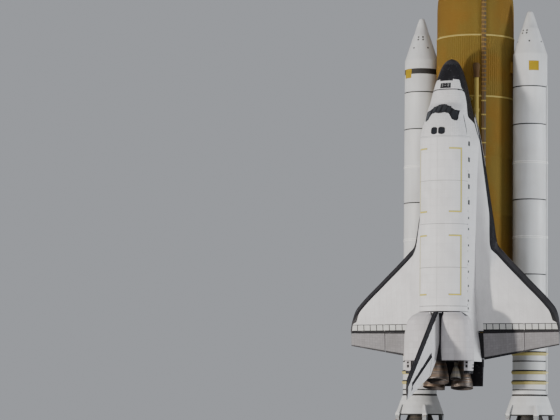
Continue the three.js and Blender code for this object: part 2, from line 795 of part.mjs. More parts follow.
function thrusterModule(grow) {
  const { start, end, low, half } = THRUSTER_BAY;
  return block([start - grow, -half - grow, low - grow], [end + grow, half + grow, CROWN]);
}

// Doors of the nose wheel's well
const NOSE_DOOR = { start: 284, end: 374, half: 24, thick: 2, depth: 36, middleGap: 0.9, lead: 0.7 };

const noseDoorRoom = (grow, high) =>
  block(
    [NOSE_DOOR.start - grow, -NOSE_DOOR.half - grow, 250],
    [NOSE_DOOR.end + grow, NOSE_DOOR.half + grow, high],
  );

function noseDoor(sign) {
  const { start, end, half, thick, middleGap, lead } = NOSE_DOOR;
  const hinged = half + RUN - SEAT;
  const leaf = block([start + lead, (sign * middleGap) / 2, 250], [end, sign * hinged, 330]);
  return carve(
    common(bodySkin(NOSE_CAP_END, CABIN.start), leaf),
    bodySkin(NOSE_CAP_END - 1, CABIN.start + 1, -thick),
  );
}

// The nose from its cap to the first bulkhead, with the nose wheel's well and the thrusters' bay.
const noseSection = () =>
  carve(
    bodySkin(NOSE_CAP_END, NOSE_BULKHEAD - SEAT),
    thrusterModule(SEAT),
    noseDoorRoom(RUN, 300 + NOSE_DOOR.depth),
  );

// Crew section: hollow cabin, six wind-screens, two roof windows, hatchway.
function forwardFuselage() {
  const windows = WINDOWS.flatMap(([front, rear, low, high]) => [
    windowCutter(front, rear, low, high),
    windowCutter(front, rear, -high, -low),
  ]);
  return carve(
    fuse(bodySkin(NOSE_BULKHEAD, BAY_START - SEAT), ...hatchLugs()),
    cabinRoom(),
    hatchBar(HATCH.radius + HATCH.gap),
    ...windows,
  );
}

const forwardThrusters = () =>
  common(bodySkin(NOSE_CAP_END, CABIN.start), thrusterModule(0));

// An arched pane just inside the cabin's wall, between two stations and above a height.
function pane(from, to, low) {
  const outside = bodySkin(CABIN.start, CABIN.end, -CABIN_WALL - SEAT, CABIN.floor);
  const inside = bodySkin(CABIN.start - 1, CABIN.end + 1, -CABIN_WALL - 1.2, CABIN.floor - 5);
  return common(carve(outside, inside), block([from, -HALF_WIDTH, low], [to, HALF_WIDTH, CROWN]));
}

const BAY = { radius: 93, start: 590, end: 1299 };

// The cargo bay's tub, open to the doors, with a bulkhead at each end.
function midFuselage() {
  const steps = 14;
  const trough = [[BAY.radius, SILL + 30]];
  for (let i = 0; i <= steps; i++) {
    const angle = -(i / steps) * PI;
    trough.push([BAY.radius * cos(angle), ORBITER_DATUM + BAY.radius * sin(angle)]);
  }
  trough.push([-BAY.radius, SILL + 30]);
  const room = loft(
    [BAY.start, BAY.end].map((x) => trough.map(([y, z]) => at(x, y, z))),
    flatAcross,
  );
  return carve(
    bodySkin(BAY_START, BAY_END - SEAT),
    block([BAY_START - 1, -HALF_WIDTH - 1, SILL], [BAY_END, HALF_WIDTH + 1, CROWN + 1]),
    room,
  );
}

const DOOR_THICKNESS = 5;

function bayDoor(sign) {
  const steps = 10;
  const foot = SILL + SEAT;
  const arc = (wide, high) =>
    Array.from({ length: steps + 1 }, (_, i) => {
      const least = Math.asin(RUN / 2 / wide);
      const angle = lerp(PI / 2, least, i / steps);
      return [sign * wide * sin(angle), foot + high * cos(angle)];
    });
  const outer = arc(HALF_WIDTH, CROWN - foot);
  const inner = arc(HALF_WIDTH - DOOR_THICKNESS, CROWN - DOOR_THICKNESS - foot).reverse();
  return loft(
    [BAY_START + RUN, BAY_END - RUN].map((x) => [...outer, ...inner].map(([y, z]) => at(x, y, z))),
    flatAcross,
  );
}

// Wing
const HINGE_STATION = 1387; // x0 of the elevons' hinge line
const DIHEDRAL = 3.5;
const TIP = 468.34;
const ELEVON_START = 131;
const ELEVON_SPLIT = 313;
const hingeHeight = (y0) => 287 + (y0 - HALF_WIDTH) * tan(rad(DIHEDRAL));
const hingeRadius = (y0) => 13 - ((y0 - ELEVON_START) * 8) / (TIP - ELEVON_START);

const WING = [
  // y0, leading edge x0, greatest thickness, its share of the chord, share where the nose ends
  [84, 462, 60, 0.8, 0.012],
  [HALF_WIDTH, 545, 60, 0.78, 0.012],
  [188, 1024, 55, 0.45, 0.05],
  [330, 1166, 37, 0.38, 0.06],
  [430, 1266, 22, 0.36, 0.07],
  [450, 1292, 18.5, 0.4, 0.08],
  [462, 1325, 15, 0.4, 0.1],
  [TIP, 1362, 11, 0.5, 0.2],
];
const CHORD_SHARES = [0.003, 0.02, 0.06, 0.14, 0.28, 0.45, 0.62, 0.8, 1];

function wingRing([y0, leading, thickness, crest, nose], sign) {
  const y = Math.max(y0, 0);
  const radius = hingeRadius(Math.max(y, ELEVON_START));
  const chord = HINGE_STATION - leading;
  const base = (x) => hingeHeight(y) - radius + (bodySection(Math.max(x, 500)).bottom - 271) * 0.8;
  const swell = (f) =>
    f < crest
      ? thickness * sin((f / crest) * (PI / 2)) ** 0.75
      : lerp(thickness, 2 * radius, ((f - crest) / (1 - crest)) ** 1.4);
  const lift = (f) => 0.35 * swell(nose) * Math.max(0, 1 - f / nose);
  const lower = CHORD_SHARES.map((f) => [leading + f * chord, base(leading + f * chord) + lift(f)]);
  const upper = lower.map(([x, z], i) => [x, Math.max(z + 1, base(x) + swell(CHORD_SHARES[i]))]);
  return [...lower.reverse(), ...upper].map(([x, z]) => at(x, sign * y0, z));
}

const wingSkin = (sign) =>
  loft(
    WING.map((row) => wingRing(row, sign)),
    flatAlong,
  );

// The leading edge's carbon shells reach this far back.
const EDGE_SHIFT = [16, -7]; // x0 and y0 from the edge to its rear line

function edgePrism(sign, grow) {
  const front = WING.slice(2).map(([y0, leading]) => [leading, y0]);
  const rear = front.map(([x, y]) => [x + EDGE_SHIFT[0] + grow, y + EDGE_SHIFT[1] - grow]);
  const outside = [
    [HINGE_STATION, TIP + 40],
    [1024 - 60, TIP + 40],
    [1024 - 60, 188 - grow],
  ];
  const outline = [
    [1024 + EDGE_SHIFT[0] + grow, 188 - grow],
    ...rear.slice(1),
    [HINGE_STATION, TIP + EDGE_SHIFT[1] - grow],
    ...outside,
  ];
  const frame = frameOf(at(0, 0, 250), at(1, 0, 400), at(0, sign, 400), new THREE.Vector3(0, -1, 0));
  return prism(outline, -20, 180, frame);
}

// A hinge line's frame: u runs along the hinge, v aft of it, w out of the upper surface.
function hingeFrame(from, to, aft) {
  const u = to.clone().sub(from).normalize();
  const w = u.clone().cross(aft).normalize();
  const v = w.clone().cross(u).normalize();
  return frameOf(from, u, v, w);
}

function elevonFrame(sign) {
  const from = at(HINGE_STATION, sign * ELEVON_START, hingeHeight(ELEVON_START));
  const to = at(HINGE_STATION, sign * TIP, hingeHeight(TIP));
  return hingeFrame(from, to, new THREE.Vector3(0, 0, -1));
}

const hingeLength = (TIP - ELEVON_START) / cos(rad(DIHEDRAL));
const SPLIT_ALONG = (ELEVON_SPLIT - ELEVON_START) / cos(rad(DIHEDRAL));
const RIB = 2; // the wall between the two elevons

// The hollow that an elevon's round nose turns in, from one place along the hinge to another.
function coveCutter(frame, from, to, radiusAt, gap = COVE) {
  const geometry = bar([from, 0, 0], [to, 0, 0], radiusAt(from) + gap, radiusAt(to) + gap, 32);
  return geometry.applyMatrix4(frame);
}

const elevonRadius = (along) => hingeRadius(ELEVON_START + along * cos(rad(DIHEDRAL)));

// Door of a main wheel's well, in the wing's lower skin
const MAIN_DOOR = { start: 1045, end: 1190, inner: 112, outer: 172, thick: 2, roof: 312 };

const mainDoorRoom = (sign, grow, high, hinged = MAIN_DOOR.inner - RUN) =>
  block(
    [MAIN_DOOR.start - grow, sign * hinged, 240],
    [MAIN_DOOR.end + grow, sign * (MAIN_DOOR.outer + grow), high],
  );

const mainDoor = (sign) =>
  carve(
    common(wingSkin(sign), mainDoorRoom(sign, 0, MAIN_DOOR.roof, MAIN_DOOR.inner - RUN + SEAT)),
    wingSkin(sign).translate(0, -MAIN_DOOR.thick, 0),
  );

function wing(sign) {
  const frame = elevonFrame(sign);
  return carve(
    wingSkin(sign),
    mainDoorRoom(sign, RUN, MAIN_DOOR.roof),
    bodyCutter(),
    edgePrism(sign, SEAT),
    coveCutter(frame, 0, SPLIT_ALONG, elevonRadius),
    coveCutter(frame, SPLIT_ALONG + RIB, hingeLength + 20, elevonRadius),
  );
}

function wingEdge(sign) {
  const frame = elevonFrame(sign);
  return carve(
    common(wingSkin(sign), edgePrism(sign, 0)),
    coveCutter(frame, SPLIT_ALONG + RIB, hingeLength + 20, elevonRadius),
  );
}

// A control surface: a round nose on its hinge and a wedge behind it, between two places along the
// hinge. radiusAt and chordAt give its size there.
function controlSurface(frame, from, to, radiusAt, chordAt) {
  const steps = 8;
  const ring = (along) => {
    const radius = radiusAt(along);
    const nose = Array.from({ length: steps + 1 }, (_, i) => {
      const angle = PI / 2 + (i / steps) * PI;
      return [radius * cos(angle), radius * sin(angle)];
    });
    const tail = [
      [chordAt(along), -0.8],
      [chordAt(along), 0.8],
    ];
    return [...nose, ...tail].map(([v, w]) => new THREE.Vector3(along, v, w).applyMatrix4(frame));
  };
  return loft([ring(from), ring(to)], (p) => new THREE.Vector2(p.y, p.z));
}

const trailingEdge = (y0) => 1525.3 - y0 * 0.1773;
const elevonChord = (along) => trailingEdge(ELEVON_START + along * cos(rad(DIHEDRAL))) - HINGE_STATION;

const ELEVONS = [
  // name, start and end along the hinge
  ["inboard", SEAT, SPLIT_ALONG - RUN],
  ["outboard", SPLIT_ALONG + RIB + SEAT, hingeLength - 2],
];

// Body flap
const FLAP = { x0: 1532, z0: 287, half: 124, radius: 8, chord: 81 };

function flapFrame() {
  const [from, to] = [-FLAP.half, FLAP.half].map((y0) => at(FLAP.x0, y0, FLAP.z0));
  return hingeFrame(from, to, new THREE.Vector3(0, 0, -1));
}

const bodyFlap = () =>
  controlSurface(
    flapFrame(),
    SEAT,
    2 * FLAP.half - SEAT,
    () => FLAP.radius,
    () => FLAP.chord,
  );

// Engines
const MAIN_ENGINES = [
  // name, pivot x0, y0, z0, tilt towards the back, tilt outboard
  ["upper", 1445, 0, 443, 16, 0],
  ["port", 1468, -53, 342.6, 10, -3.5],
  ["starboard", 1468, 53, 342.6, 10, 3.5],
];
const ENGINE_BALL = 9;
const ENGINE_SHIELD = 50;
const ENGINE_WELL = 49;
const BELL = [
  // outer radius, distance below the pivot
  [21, 62],
  [28.5, 82],
  [36.5, 106],
  [44.5, 140],
  [46.3, 157],
];
const BELL_WALL = 2.5;

// A main engine about its gimbal, pointing down: ball, chamber, round shield and bell.
function mainEngine() {
  const shield = (angle, inset) => [
    (ENGINE_SHIELD - inset) * sin(rad(angle)),
    -(ENGINE_SHIELD - inset) * cos(rad(angle)),
  ];
  const outside = BELL.map(([radius, below]) => [radius, -below]);
  const inside = outside.map(([radius, height]) => [radius - BELL_WALL, height]).reverse();
  return turned(
    [
      [0, ENGINE_BALL],
      [6.4, 6.4],
      [ENGINE_BALL, 0],
      [15, -8],
      [15, -26],
      [11, -38],
      shield(24, 2),
      shield(43, 2),
      shield(62, 2),
      shield(62, 0),
      shield(43, 0),
      shield(21, 0),
      ...outside,
      ...inside,
      [0, -46],
    ],
    20,
  );
}

function placeEngine(mesh, [, x0, y0, z0, pitch, yaw]) {
  mesh.position.copy(at(x0, y0, z0));
  mesh.rotation.set(-rad(pitch), -rad(yaw), 0);
}

// The well that an engine turns in: a round room and a mouth that widens with the bell.
function engineWell([, x0, y0, z0, pitch, yaw]) {
  const top = ENGINE_BALL + SEAT;
  const well = turned(
    [
      [0, top],
      [ENGINE_WELL, top],
      [ENGINE_WELL, -34],
      [37, -60],
      [46, -76],
      [58, -98],
      [58, -160],
      [0, -160],
    ],
    24,
  );
  const turn = new THREE.Euler(-rad(pitch), -rad(yaw), 0);
  const place = new THREE.Matrix4().makeRotationFromEuler(turn).setPosition(at(x0, y0, z0));
  return well.applyMatrix4(place);
}

// Tail section: engine wells, base, and the ledge that the body flap hangs on.
function aftFuselage() {
  const ledge = block(
    [BODY_END - 12, -FLAP.half - 2, FLAP.z0 - FLAP.radius + 0.5],
    [FLAP.x0, FLAP.half + 2, FLAP.z0 + FLAP.radius],
  );
  const cove = coveCutter(flapFrame(), 0, 2 * FLAP.half, () => FLAP.radius);
  // Fairings that close the sides beside the inboard elevons
  const sides = block([1389, -129.8, 279], [BODY_END - 14, 129.8, 295]);
  return carve(
    fuse(bodySkin(BAY_END, BODY_END), ledge, sides),
    cove,
    ...MAIN_ENGINES.map(engineWell),
  );
}

// Engine pods on the tail's shoulders
const POD = [
  // x0, centre y0, z0, half width, half height
  [BAY_END + 4, 56, 452, 40, 44],
  [1330, 69, 462, 53, 56],
  [1352, 76, 467, 60, 60],
  [1414, 81, 472, 65, 61],
  [BODY_END, 83, 474, 67, 55],
];
const STINGER = { inner: 118, outer: 149, low: 450, high: 492, end: 1564 };
const POD_ENGINE = { x0: BODY_END + 8 + 0.02, y0: 82, z0: 484, pitch: 15.8, yaw: 3 };

function pod(sign) {
  const steps = 20;
  const power = 2 / 2.6; // a little squarer than an ellipse
  const bulge = (value) => Math.sign(value) * Math.abs(value) ** power;
  const rings = POD.map(([x0, y0, z0, wide, high]) =>
    Array.from({ length: steps }, (_, i) => {
      const angle = (i / steps) * 2 * PI;
      return at(x0, sign * (y0 + wide * bulge(cos(angle))), z0 + high * bulge(sin(angle)));
    }),
  );
  const { inner, outer, low, high, end } = STINGER;
  const stinger = loft(
    [
      [BODY_END - 20, outer],
      [end, outer - 4],
    ].map(([x0, out]) => [
      at(x0, sign * inner, low),
      at(x0, sign * out, low + 6),
      at(x0, sign * out, high - 12),
      at(x0, sign * (out - 12), high),
      at(x0, sign * inner, high),
    ]),
    flatAcross,
  );
  return carve(fuse(loft(rings, flatAcross), stinger), bodyCutter());
}

const POD_BALL = 8;

function podEngine() {
  const ball = [0, 8, 16, 24, 50, 90].map((angle) => [
    (POD_BALL - SEAT) * sin(rad(angle)),
    (POD_BALL - SEAT) * cos(rad(angle)),
  ]);
  return turned(
    [
      ...ball,
      [7, -10],
      [13, -28],
      [19, -50],
      [22, -70],
      [21, -70],
      [17.5, -50],
      [11, -28],
      [0, -14],
    ],
    18,
  );
}

// Fin
const FIN = { root: 500, height: 315.72, leading: 1277.9, rootChord: 268.5, tipChord: 84 };
const FIN_FRONT = BAY_END + 5;
// Along its hinge from the fin's root, and the room that its slanted lower end needs to turn
const RUDDER = { start: 94, end: 326, room: 2.7 };
const finChord = (z0) => lerp(FIN.rootChord, FIN.tipChord, (z0 - FIN.root) / FIN.height);
const finLeading = (z0) => FIN.leading + (z0 - FIN.root);
const HINGE_SHARE = 0.6; // of the chord
// Half of the fin's greatest thickness
const finHalf = (z0) => lerp(13.4, 6.2, (z0 - FIN.root) / FIN.height);

function finRing(z0, leadingShift = 0) {
  const chord = finChord(z0);
  const leading = finLeading(z0);
  const half = finHalf(z0);
  const side = [
    [0.006, 0.1],
    [0.04, 0.34],
    [0.15, 0.66],
    [0.35, 0.93],
    [HINGE_SHARE, 1],
  ].map(([share, thick]) => [leading + share * chord + leadingShift * (1 - share), thick * half]);
  side.push([leading + chord, 0.9]);
  const other = side.map(([x, y]) => [x, -y]).reverse();
  return [...side, ...other].map(([x, y]) => at(x, y, z0));
}

const finSkin = () =>
  loft(
    [
      finRing(FIN.root - 14),
      finRing(FIN.root + 120),
      finRing(FIN.root + FIN.height - 9),
      finRing(FIN.root + FIN.height, 9),
    ],
    (p) => new THREE.Vector2(p.x, p.z),
  );

function rudderFrame() {
  const hingePoint = (z0) => at(finLeading(z0) + HINGE_SHARE * finChord(z0), 0, z0);
  return hingeFrame(hingePoint(FIN.root), hingePoint(FIN.root + FIN.height), new THREE.Vector3(0, 0, -1));
}

const RUDDER_SLOPE = Math.atan(
  (FIN.height + HINGE_SHARE * (FIN.tipChord - FIN.rootChord)) / FIN.height,
);
// Radius of the rudder's round post, which fills the fin's thickness.
const postRadius = (along) => finHalf(FIN.root + along * cos(RUDDER_SLOPE)) - 0.6;

// The rudder's lower end runs along the chord: a point on it at a distance aft of the hinge.
const rudderFoot = (start, aft) => [start + (aft - postRadius(start)) * tan(RUDDER_SLOPE), aft];

// Outline cut from the fin's lower rear corner, above the upper engine's bell.
const FIN_NOTCH = [
  // x0, z0
  [BODY_END - 6, 470],
  [BODY_END - 6, 513],
  [1530, 532],
  [1556, 553],
  [1640, 610],
  [1640, 470],
];

function fin() {
  const frame = rudderFrame();
  const opening = prism(
    [
      [RUDDER.start, 0],
      [RUDDER.end, 0],
      [RUDDER.end, 220],
      rudderFoot(RUDDER.start, 220),
      [RUDDER.start, postRadius(RUDDER.start)],
    ],
    -40,
    40,
    frame,
  );
  const belowRudder = loft(
    [-30, 30].map((y) => FIN_NOTCH.map(([x, z]) => at(x, y, z))),
    flatAlong,
  );
  const front = block([FIN.leading - 60, -30, FIN.root - 30], [FIN_FRONT, 30, FIN.root + 60]);
  return carve(
    finSkin(),
    bodyCutter(),
    opening,
    belowRudder,
    front,
    coveCutter(frame, RUDDER.start, RUDDER.end, postRadius),
  );
}

const rudderPost = () =>
  bar(
    [RUDDER.start + SEAT, 0, 0],
    [RUDDER.end - SEAT, 0, 0],
    postRadius(RUDDER.start),
    postRadius(RUDDER.end),
    24,
  ).applyMatrix4(rudderFrame());

function rudderPanel(sign) {
  const [start, end] = [RUDDER.start + RUN, RUDDER.end - RUN];
  const wedge = prism(
    [
      [start + RUDDER.room, postRadius(start) + SEAT],
      [end, postRadius(end) + SEAT],
      [end, 220],
      rudderFoot(start + RUDDER.room, 220),
    ],
    sign < 0 ? -40 : RUN / 2,
    sign < 0 ? -RUN / 2 : 40,
    rudderFrame(),
  );
  return common(finSkin(), wedge);
}

// Assembly
const tank = new THREE.Group();
tank.add(
  piece("oxygen_tank", oxygenTank(), FOAM),
  piece("intertank", intertank(), FOAM),
  piece("hydrogen_tank", hydrogenTank(), FOAM),
  piece("oxygen_feed_line", feedLine(), FOAM),
  piece("tank_cable_tray", cableTray(), FOAM),
  piece("forward_bipod_strut", bipod(), FOAM),
  piece("aft_orbiter_attachment", aftAttachment(), FOAM),
);

function booster(side, sign) {
  const group = new THREE.Group();
  group.position.x = sign * BOOSTER_OFFSET;
  const nozzle = piece(`booster_nozzle_${side}`, boosterNozzle(), NOZZLE);
  nozzle.position.z = boosterHeight(NOZZLE_PIVOT);
  group.add(
    piece(`booster_nose_${side}`, boosterNose(), BOOSTER_WHITE),
    piece(`booster_forward_skirt_${side}`, boosterForwardSkirt(), BOOSTER_WHITE),
    piece(`booster_case_${side}`, boosterCase(sign), BOOSTER_WHITE),
    piece(`booster_attach_ring_${side}`, boosterAttachRing(sign), BOOSTER_WHITE),
    piece(`booster_aft_skirt_${side}`, boosterSkirt(), BOOSTER_WHITE),
    piece(`hold_down_posts_front_${side}`, holdDownPosts(-1), POST_PAINT),
    piece(`hold_down_posts_back_${side}`, holdDownPosts(1), POST_PAINT),
    nozzle,
  );
  return group;
}

const orbiter = new THREE.Group();
orbiter.position.set(0, -ORBITER_OFFSET, tankHeight(ORBITER_TO_TANK));
orbiter.add(
  piece("nose_cap", bodySkin(BODY[0].x0, NOSE_CAP_END - SEAT), CARBON),
  piece("nose_section", noseSection(), TILE_WHITE),
  piece("forward_fuselage", forwardFuselage(), TILE_WHITE),
  piece("forward_thruster_module", forwardThrusters(), TILE_WHITE),
  piece("windshield_glass", pane(436, 484, 376), GLASS),
  piece("roof_window_glass", pane(546, 569.5, 485), GLASS),
  piece("crew_hatch", crewHatch(), TILE_WHITE),
  piece("mid_fuselage", midFuselage(), BLANKET),
  piece("aft_fuselage", aftFuselage(), BLANKET),
  piece("vertical_fin", fin(), TILE_WHITE),
  piece("rudder_post", rudderPost(), TILE_BLACK),
  piece("body_flap", bodyFlap(), TILE_BLACK),
);

for (const [side, sign] of SIDES) {
  orbiter.add(
    piece(`bay_door_${side}`, bayDoor(sign), BLANKET),
    piece(`wing_${side}`, wing(sign), BLANKET),
    piece(`wing_leading_edge_${side}`, wingEdge(sign), CARBON),
    piece(`engine_pod_${side}`, pod(sign), BLANKET),
    piece(`rudder_panel_${side}`, rudderPanel(sign), TILE_WHITE),
    piece(`nose_wheel_door_${side}`, noseDoor(sign), TILE_BLACK),
    piece(`main_wheel_door_${side}`, mainDoor(sign), TILE_BLACK),
  );
  for (const [name, start, end] of ELEVONS)
    orbiter.add(
      piece(
        `elevon_${name}_${side}`,
        controlSurface(elevonFrame(sign), start, end, elevonRadius, elevonChord),
        TILE_WHITE,
      ),
    );
  const engine = piece(`pod_engine_${side}`, podEngine(), NOZZLE);
  engine.position.copy(at(POD_ENGINE.x0, sign * POD_ENGINE.y0, POD_ENGINE.z0));
  engine.rotation.set(-rad(POD_ENGINE.pitch), -sign * rad(POD_ENGINE.yaw), 0);
  orbiter.add(engine);
}

for (const row of MAIN_ENGINES) {
  const engine = piece(`main_engine_${row[0]}`, mainEngine(), NOZZLE);
  placeEngine(engine, row);
  orbiter.add(engine);
}

const stack = new THREE.Group();
stack.add(tank, orbiter, ...SIDES.map(([side, sign]) => booster(side, sign)));
stack.scale.setScalar(MM_PER_INCH);
stack.updateMatrixWorld(true);

// The origin lies on the floor, under the middle of the stack's box.
const middle = new THREE.Box3().setFromObject(stack, true).getCenter(new THREE.Vector3());
stack.position.set(-middle.x, -middle.y, 0);

const shuttle = new THREE.Group();
shuttle.add(stack);

export default shuttle;
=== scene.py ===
from math import atan, cos, pi, radians, sin, sqrt, tan

import bmesh
import bpy
import numpy as np
from mathutils import Matrix, Vector


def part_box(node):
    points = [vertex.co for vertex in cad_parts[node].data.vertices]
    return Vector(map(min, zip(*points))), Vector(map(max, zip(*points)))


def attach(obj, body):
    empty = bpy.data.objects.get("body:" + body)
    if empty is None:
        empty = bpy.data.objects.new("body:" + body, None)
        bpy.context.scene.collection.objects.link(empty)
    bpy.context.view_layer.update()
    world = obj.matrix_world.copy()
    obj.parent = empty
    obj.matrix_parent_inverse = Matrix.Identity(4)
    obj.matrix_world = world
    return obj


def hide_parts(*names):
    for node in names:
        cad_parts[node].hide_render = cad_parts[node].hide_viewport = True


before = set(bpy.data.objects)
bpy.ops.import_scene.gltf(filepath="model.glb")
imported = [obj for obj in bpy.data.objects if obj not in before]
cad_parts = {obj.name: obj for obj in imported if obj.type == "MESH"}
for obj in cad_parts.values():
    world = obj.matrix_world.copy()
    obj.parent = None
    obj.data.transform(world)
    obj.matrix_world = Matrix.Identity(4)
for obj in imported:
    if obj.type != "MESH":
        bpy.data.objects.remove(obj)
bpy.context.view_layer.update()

# The camera stands at floor level, off to the orbiter's starboard side, and looks up at the stack
# through a long lens. Its picture is 560 x 420, and the stack fills the right third of it.
INCH = 0.0127  # an inch of the real vehicle, in metres of this half-size model
tank_low, tank_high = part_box("oxygen_tank")
AXIS_Y = (tank_low.y + tank_high.y) / 2  # the tank's axis, in the frame
CAMERA_DISTANCE = 10323 * INCH
CAMERA_HEIGHT = 24 * INCH
CAMERA_AZIMUTH = radians(20.89)  # from the orbiter's back towards starboard
CAMERA_HEADING = radians(25.55)
CAMERA_PITCH = radians(5.11)
CAMERA_ROLL = radians(0.62)
FOCAL_PIXELS = 2400
PICTURE_WIDTH = 560
SENSOR = 36.0


def added(name, data):
    """A new object in the scene."""
    thing = bpy.data.objects.new(name, data)
    bpy.context.scene.collection.objects.link(thing)
    return thing


camera = added("camera", bpy.data.cameras.new("camera"))
bpy.context.scene.camera = camera
camera.data.sensor_width = SENSOR
camera.data.lens = SENSOR * FOCAL_PIXELS / PICTURE_WIDTH
camera.data.clip_end = 600
forward = Vector((
    -sin(CAMERA_HEADING) * cos(CAMERA_PITCH),
    cos(CAMERA_HEADING) * cos(CAMERA_PITCH),
    sin(CAMERA_PITCH),
))
level = forward.cross(Vector((0, 0, 1))).normalized()
upright = level.cross(forward)
right = level * cos(CAMERA_ROLL) + upright * sin(CAMERA_ROLL)
up = upright * cos(CAMERA_ROLL) - level * sin(CAMERA_ROLL)
camera.matrix_world = Matrix.Translation((
    CAMERA_DISTANCE * sin(CAMERA_AZIMUTH),
    AXIS_Y - CAMERA_DISTANCE * cos(CAMERA_AZIMUTH),
    CAMERA_HEIGHT,
)) @ Matrix((right, up, -forward)).transposed().to_4x4()


# Studio: a pale floor, two large soft lamps low down on either side of the view, a third above,
# and a pale sky that fills the shadows.
def lamp(name, azimuth, distance, height, size, watts, colour, aim):
    """A square soft lamp on the side that azimuth names, turned to a height on the stack's axis."""
    data = bpy.data.lights.new(name, "AREA")
    data.size, data.energy, data.color = size, watts, colour
    lamp_object = added(name, data)
    place = Vector((distance * sin(radians(azimuth)), AXIS_Y - distance * cos(radians(azimuth)), height))
    lamp_object.location = place
    lamp_object.rotation_mode = "QUATERNION"
    lamp_object.rotation_quaternion = (Vector((0, AXIS_Y, aim)) - place).to_track_quat("-Z", "Y")


lamp("lamp_left", -29, 52, 2.5, 3.4, 25000, (1.0, 0.95, 0.88), 16)
lamp("lamp_right", 92, 52, 5, 8, 20000, (0.93, 0.97, 1.0), 14)
lamp("lamp_above", 20, 60, 48, 30, 8500, (1.0, 1.0, 1.0), 14)

sky = bpy.data.worlds.new("studio")
bpy.context.scene.world = sky
sky.use_nodes = True
sky.node_tree.nodes["Background"].inputs["Color"].default_value = (0.83, 0.86, 0.92, 1)
sky.node_tree.nodes["Background"].inputs["Strength"].default_value = 0.42


class Finish:
    """A material being made. Each method adds a node and gives that node's output."""

    def __init__(self, name, colour, roughness, metallic=0.0):
        self.material = bpy.data.materials.new(name)
        self.material.use_nodes = True
        self.tree = self.material.node_tree
        self.shader = self.tree.nodes["Principled BSDF"]
        self.shader.inputs["Roughness"].default_value = roughness
        self.shader.inputs["Metallic"].default_value = metallic
        self.shader.inputs["Base Color"].default_value = (*colour, 1)
        self.relief = None

    def node(self, kind, output=0, settings=(), **inputs):
        made = self.tree.nodes.new(kind)
        for key, value in dict(settings).items():
            setattr(made, key, value)
        for key, value in inputs.items():
            self.feed(made.inputs[key.replace("_", " ")], value)
        return made.outputs[output]

    def feed(self, socket, value):
        if isinstance(value, bpy.types.NodeSocket):
            self.tree.links.new(value, socket)
        elif socket.type == "RGBA":
            socket.default_value = (*value, 1)
        else:
            socket.default_value = value

    def place(self):
        return self.node("ShaderNodeTexCoord", output="Object")

    def lengths(self):
        return self.node("ShaderNodeUVMap", settings={"uv_map": "lengths"})

    def part_of(self, vector, axis):
        return self.node("ShaderNodeSeparateXYZ", output=axis, Vector=vector)

    def maths(self, operation, *values):
        made = self.tree.nodes.new("ShaderNodeMath")
        made.operation = operation
        for socket, value in zip(made.inputs, values):
            self.feed(socket, value)
        return made.outputs[0]

    def scaled(self, vector, scale):
        return self.node("ShaderNodeMapping", Vector=vector, Scale=scale)

    def noise(self, scale, detail=3.0, stretch=None):
        vector = self.place()
        if stretch:
            vector = self.scaled(vector, stretch)
        return self.node("ShaderNodeTexNoise", Vector=vector, Scale=scale, Detail=detail)

    def step(self, value, low, high):
        """0 below low, 1 above high, smooth between."""
        smooth = {"interpolation_type": "SMOOTHSTEP"}
        return self.node("ShaderNodeMapRange", settings=smooth, Value=value, From_Min=low, From_Max=high)

    def mix(self, factor, first, second):
        made = self.tree.nodes.new("ShaderNodeMix")
        made.data_type = "RGBA"
        self.feed(made.inputs["Factor"], factor)
        self.feed(made.inputs[6], first)
        self.feed(made.inputs[7], second)
        return made.outputs[2]

    def paint(self, colour):
        self.feed(self.shader.inputs["Base Color"], colour)

    def rough(self, value, low, high):
        made = self.node("ShaderNodeMapRange", Value=value, To_Min=low, To_Max=high)
        self.feed(self.shader.inputs["Roughness"], made)

    def bump(self, height, distance, strength=1.0):
        inputs = {"Height": height, "Distance": distance, "Strength": strength}
        if self.relief:
            inputs["Normal"] = self.relief
        self.relief = self.node("ShaderNodeBump", **inputs)
        self.feed(self.shader.inputs["Normal"], self.relief)

    def streaks(self, amount, scale=1.6, length=0.12):
        """Soft vertical streaks, 0 to 1: noise drawn out along the height."""
        drawn = self.noise(scale, 5.0, stretch=(1, 1, length))
        return self.step(drawn, 0.5 - amount / 2, 0.5 + amount / 2)


FLOOR_HALF = 260.0
floor_mesh = bpy.data.meshes.new("floor")
corners = [
    (x * FLOOR_HALF, AXIS_Y + y * FLOOR_HALF, -0.002)
    for x, y in ((-1, -1), (1, -1), (1, 1), (-1, 1))
]
floor_mesh.from_pydata(corners, [], [(0, 1, 2, 3)])
floor = added("floor", floor_mesh)
floor_mesh.materials.append(Finish("floor_paint", (0.72, 0.72, 0.7), 0.85).material)


# Oxygen tank: the pointed upper tank, an aluminium shell under sprayed insulating foam that the
# sun has turned golden brown. It stands in the intertank's ring. A lightning spike tops it.
FLOOR_STATION = 2545.64  # tank station of the floor; stations grow downwards
TANK_RADIUS = 165.5
OGIVE_START, OGIVE_END = 358.0, 745.0
INTERTANK_START, INTERTANK_END = 852.8, 1123.15
SEAT = 0.024  # between pieces that rest on each other


def stack_point(x, y, xt):
    """Points in metres from inches off the tank's axis and a tank station, as whole arrays."""
    return np.stack(np.broadcast_arrays(x * INCH, y * INCH + AXIS_Y, (FLOOR_STATION - xt) * INCH), -1)


def turned(profile, steps=96, x=0.0, y=0.0, ripple=None, place=stack_point):
    """A profile of (radius, station) rows turned about the vertical at x, y: every radius r gives
    the ring (x + r sin a, y - r cos a). ripple(a), if given, is added to the radius, and place
    turns the three coordinates into points."""
    radius, station = np.asarray(profile, float).T[:, :, None]
    angle = np.arange(steps) * 2 * pi / steps
    if ripple is not None:
        radius = radius + np.where(radius > 1, ripple(angle), 0)
    return place(x + radius * np.sin(angle), y - radius * np.cos(angle), station)


def corners_of(values):
    """The values at the four corners of each quad of a grid."""
    return np.stack([values[:-1, :-1], values[:-1, 1:], values[1:, 1:], values[1:, :-1]], 2)


